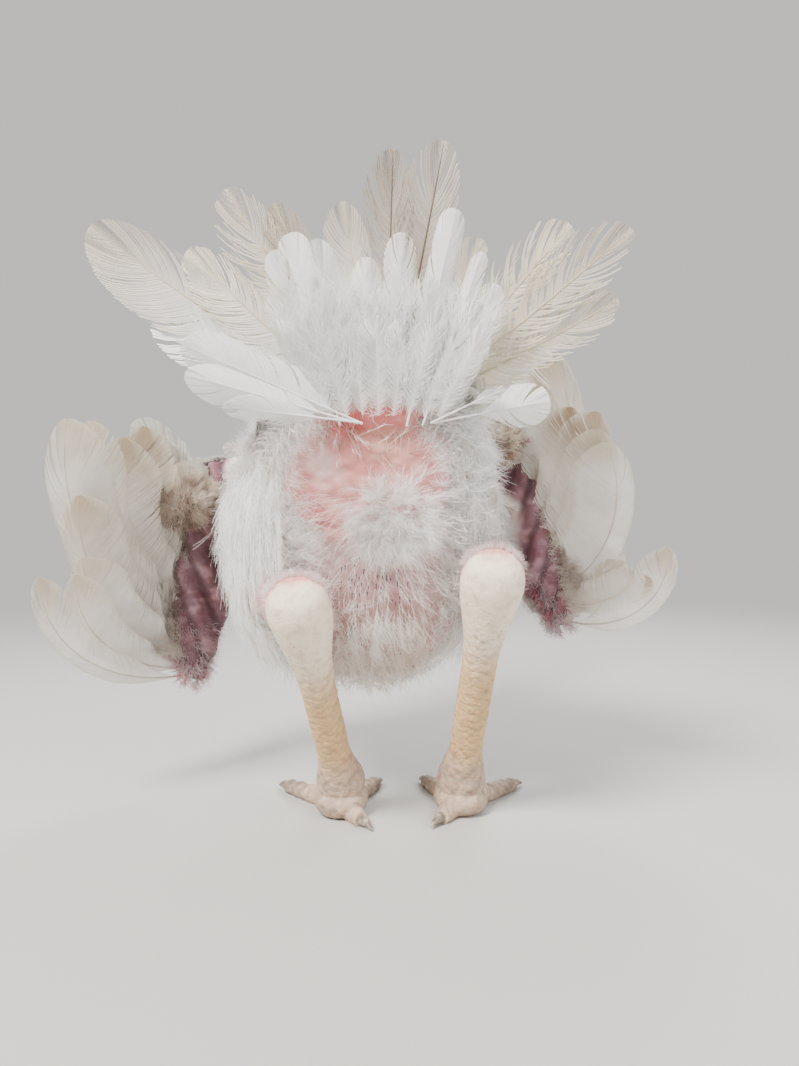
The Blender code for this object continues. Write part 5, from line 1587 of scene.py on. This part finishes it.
def dress_underwing(down, wing):
    """Fluff and fuzz on the wing's side that the camera sees."""
    face, out, up = wing_frame(wing)
    _, elbow, wrist, finger = arm_joints(wing)

    # Stained brown fluff over the elbow
    many = 420
    turn = rng.uniform(0, 2 * math.pi, many)
    reach = np.sqrt(rng.random(many))
    across, high = np.sin(turn) * reach, np.cos(turn) * reach
    *middle, size = wing["fluff"]
    root = np.array(middle) + size * (out * across[:, None] * 0.019 + up * high[:, None] * 0.012)
    root = root - face * (0.006 + 0.012 * (1 - reach[:, None] ** 2))
    way = out * across[:, None] * 0.8 + up * (0.2 + high[:, None]) * 0.9 - face * 0.3
    way = unit(way + rng.normal(0, 0.2, (many, 3)))
    length = rng.uniform(0.009, 0.015, many)
    stain = smooth(wander(root, 0.012, 91), 0.0, 0.7)
    rust = smooth(wander(root, 0.009, 95), 0.55, 0.9)
    colour = mix(mix((0.74, 0.66, 0.56), (0.34, 0.25, 0.20), stain), (0.22, 0.06, 0.025), rust)
    grow(down, PLUMES, root, way, -face, length, length * 0.9, curl=0.6, colour=colour)

    # Soft feathers where the flight feathers leave the flesh, stained grey and brown
    many = 230
    share = rng.uniform(-1.0, 0.75, many)
    line = wrist + np.where(share[:, None] < 0, wrist - elbow, finger - wrist) * share[:, None]
    root = line + out * rng.uniform(0.007, 0.020, many)[:, None]
    root = root - face * rng.uniform(0.006, 0.011, many)[:, None]
    way = out * rng.uniform(0.4, 1.0, many)[:, None] + up * rng.uniform(-0.2, 0.9, many)[:, None]
    way = unit(way - face * 0.25)
    length = rng.uniform(0.010, 0.018, many)
    stain = smooth(wander(root, 0.020, 93), -0.1, 0.7)
    grow(down, PLUMES, root, way, -face, length, length, curl=0.4,
         colour=mix((0.80, 0.74, 0.68), (0.42, 0.34, 0.29), stain))

    # Lilac-grey fuzz on the hand
    many = 460
    share = 0.25 + 0.72 * rng.random(many)
    turn = rng.uniform(-1.9, 1.9, many)
    away = turned(-face, out, turn)
    wide = np.interp(share, (0.0, 0.5, 1.0), (0.018, 0.015, 0.007))[:, None]
    root = wrist + (finger - wrist) * share[:, None]
    root = root + out * np.sin(turn)[:, None] * wide - face * (0.003 + np.cos(turn)[:, None] * 0.0075)
    way = unit(away * 0.7 + unit(finger - wrist) * 0.8 + rng.normal(0, 0.25, (many, 3)))
    length = rng.uniform(0.005, 0.011, many)
    lilac = mix((0.50, 0.38, 0.41), (0.80, 0.70, 0.70), rng.random(many))
    colour = np.where((wander(root, 0.009, 94) > 0.75)[:, None], (0.72, 0.25, 0.33), lilac)
    grow(down, FUZZ, root, way, away, length, length, curl=0.5, colour=colour)


def make_tail(flight, coat, down):
    """The fan, its coverts and the white puff behind it, single feathers and the saddle."""
    across = np.array((1.0, 0.0, 0.0))
    up = np.array((0.0, -math.sin(TAIL_LEAN), math.cos(TAIL_LEAN)))
    face = np.array((0.0, math.cos(TAIL_LEAN), math.sin(TAIL_LEAN)))
    root_at = np.array(TAIL_ROOT)
    for i, (degrees, length, width, colour, tip, shaft, splits, fray, barbs) in enumerate(RECTRICES):
        turn = math.radians(degrees)
        way = turned(up, across, turn)
        root = root_at + across * math.sin(turn) * 0.022 + face * (i % 2 - 0.5) * 0.0026
        vane = vane_template(barbs, 5, 200 + i, lean=0.15, start=0.10, splits=splits, fray=fray, loose=0.22,
                             layer=0.00010, tip=0.76, gap=0.022)
        form = {"curl": math.radians(-6 + 3 * (i % 2)), "sweep": turn * 0.10, "strips_uv": True}
        flight.add(vane, root, way, face, length, width, colour=colour, tip=tip, tip_from=0.30, **form)
        flight.add(shaft_template(18, 0.0009), root, way, face, length, width, colour=shaft, **form)
    for row, (count, first, last, length, width, lift, fray, loose, blunt) in enumerate(TAIL_COVERTS):
        turn = np.radians(np.linspace(first, last, count) + rng.normal(0, 3.0, count))
        way = turned(up, across, turn)
        facing = math.copysign(1, lift)
        root = root_at + across * np.linspace(-0.024, 0.026, count)[:, None] + face * lift
        root[:, 2] -= 0.010 * (facing < 0)
        normal = face * facing
        vanes = [vane_template(90, 4, 230 + 3 * row + k, lean=0.14, fray=fray, loose=loose, lead=0.5,
                               layer=0.00025, tip=0.80, gap=0.02, blunt=blunt) for k in range(3)]
        size = length * rng.uniform(0.82, 1.08, count)
        way = unit(way + normal * rng.uniform(0.06, 0.20, (count, 1)))
        twist = rng.normal(0, 0.35, count)
        grow(coat, vanes, root, way, normal, size, width * rng.uniform(0.85, 1.15, count),
             curl=math.radians(12), camber=0.5, twist=twist, colour=FLUFF)

    # Loose white down between and over the coverts, on the camera's side of the fan
    many = 330
    turn = np.radians(rng.uniform(-27, 30, many))
    reach = rng.uniform(0.0, 0.050, many)
    way = turned(up, across, turn)
    root = root_at + way * reach[:, None] + across * (np.sin(turn) * 0.055)[:, None] - face * 0.014
    root[:, 2] -= 0.010
    way = unit(way - face * rng.uniform(0.05, 0.45, many)[:, None])
    length = rng.uniform(0.018, 0.032, many)
    grow(down, PLUMES, root, way, -face, length, length * 0.8, curl=0.35, colour=FLUFF)

    # Single white feathers: square-ended ones above, sleek ones low on the left, a spoon on the right
    for i, (degrees, aside, length, width, start, blunt, bend, twist) in enumerate(SINGLE_FEATHERS):
        turn = math.radians(degrees)
        way = turned(up, across, turn)
        root = root_at - face * (0.0160 + 0.0008 * i) + across * aside - (0, 0, 0.010)
        vane = vane_template(90, 5, 250 + i, lean=0.14, start=start, splits=2, fray=0.05, lead=0.5,
                             layer=0.0001, tip=0.74, gap=0.02, blunt=blunt)
        looks = {"curl": bend, "twist": twist, "colour": FLUFF}
        coat.add(vane, root, way, -face, length, width, camber=0.5, **looks)
        coat.add(shaft_template(10, 0.0006), root, way, -face, length, width, **looks)

    # Saddle feathers from the back over the tail's root
    many = 130
    turn = rng.uniform(-1.1, 1.1, many)
    place = rng.uniform(0.24, 0.38, many)
    here, normal, along = surface_frame(torso_at, place, turn)
    plant(coat, COVERTS, here - normal * 0.006, normal, along + up * 0.4, (8, 18), (0.030, 0.046), 0.36,
          (0, 0, 0), tone=lambda _: tints(here, 79), curl=-0.2)


def make_coat(tree):
    flight = Flock("flight_feathers", "flight", "flight_feather")
    coat = Flock("contour_feathers", "contour", "body_feather")
    down = Flock("down", "down", "body_feather")
    dress_torso(coat, down, tree)
    dress_vent(down)
    dress_neck(coat, tree)
    dress_breast(coat, tree)
    for leg in LEGS.values():
        dress_thigh(coat, down, leg)
    for wing in WINGS.values():
        make_wing(flight, coat, down, wing, tree)
    make_tail(flight, coat, down)
    wings = [f"wing_{side}_{part}" for side in ("left", "right") for part in ("forearm", "hand")]
    flight.make(["tail"] + wings)
    coat.make()
    down.make()


# Floor, lights and camera


def make_floor():
    shape = bmesh.new()
    bmesh.ops.create_circle(shape, cap_ends=True, segments=96, radius=40.0)
    obj = smooth_object("floor", shape)
    obj.data.materials.append(MATERIALS["floor"])


def add_light(name, at, size, power, colour=(1.0, 1.0, 1.0)):
    light = bpy.data.lights.new(name, "AREA")
    light.shape = "DISK"
    light.size = size
    light.energy = power
    light.color = colour
    obj = link(light, name)
    obj.location = at
    obj.rotation_euler = (Vector((0, 0, 0.18)) - Vector(at)).to_track_quat("-Z", "Y").to_euler()


def light_scene():
    world = bpy.data.worlds.new("studio")
    bpy.context.scene.world = world
    world.use_nodes = True
    background = world.node_tree.nodes["Background"]
    background.inputs["Color"].default_value = BACKDROP
    background.inputs["Strength"].default_value = 1.0
    add_light("key", (-0.8, -1.2, 1.5), 0.7, 104, (1.0, 0.97, 0.93))
    add_light("fill", (1.3, -0.9, 0.8), 1.3, 20, (0.95, 0.975, 1.0))
    add_light("back", (0.4, 1.4, 1.3), 1.0, 40)


def place_camera():
    camera = bpy.data.cameras.new("camera")
    camera.sensor_width = SENSOR
    camera.lens = SENSOR * PHOTO_FOCAL / PHOTO[1]
    camera.clip_start = 0.01
    obj = link(camera, "camera")
    obj.location = HOME + np.array(CAMERA_AT)
    obj.rotation_euler = (math.radians(90), 0, 0)
    bpy.context.scene.camera = obj


skin_tree = make_skin()
for label, leg in LEGS.items():
    make_leg(label, leg)
make_head()
make_coat(skin_tree)
make_floor()
light_scene()
place_camera()
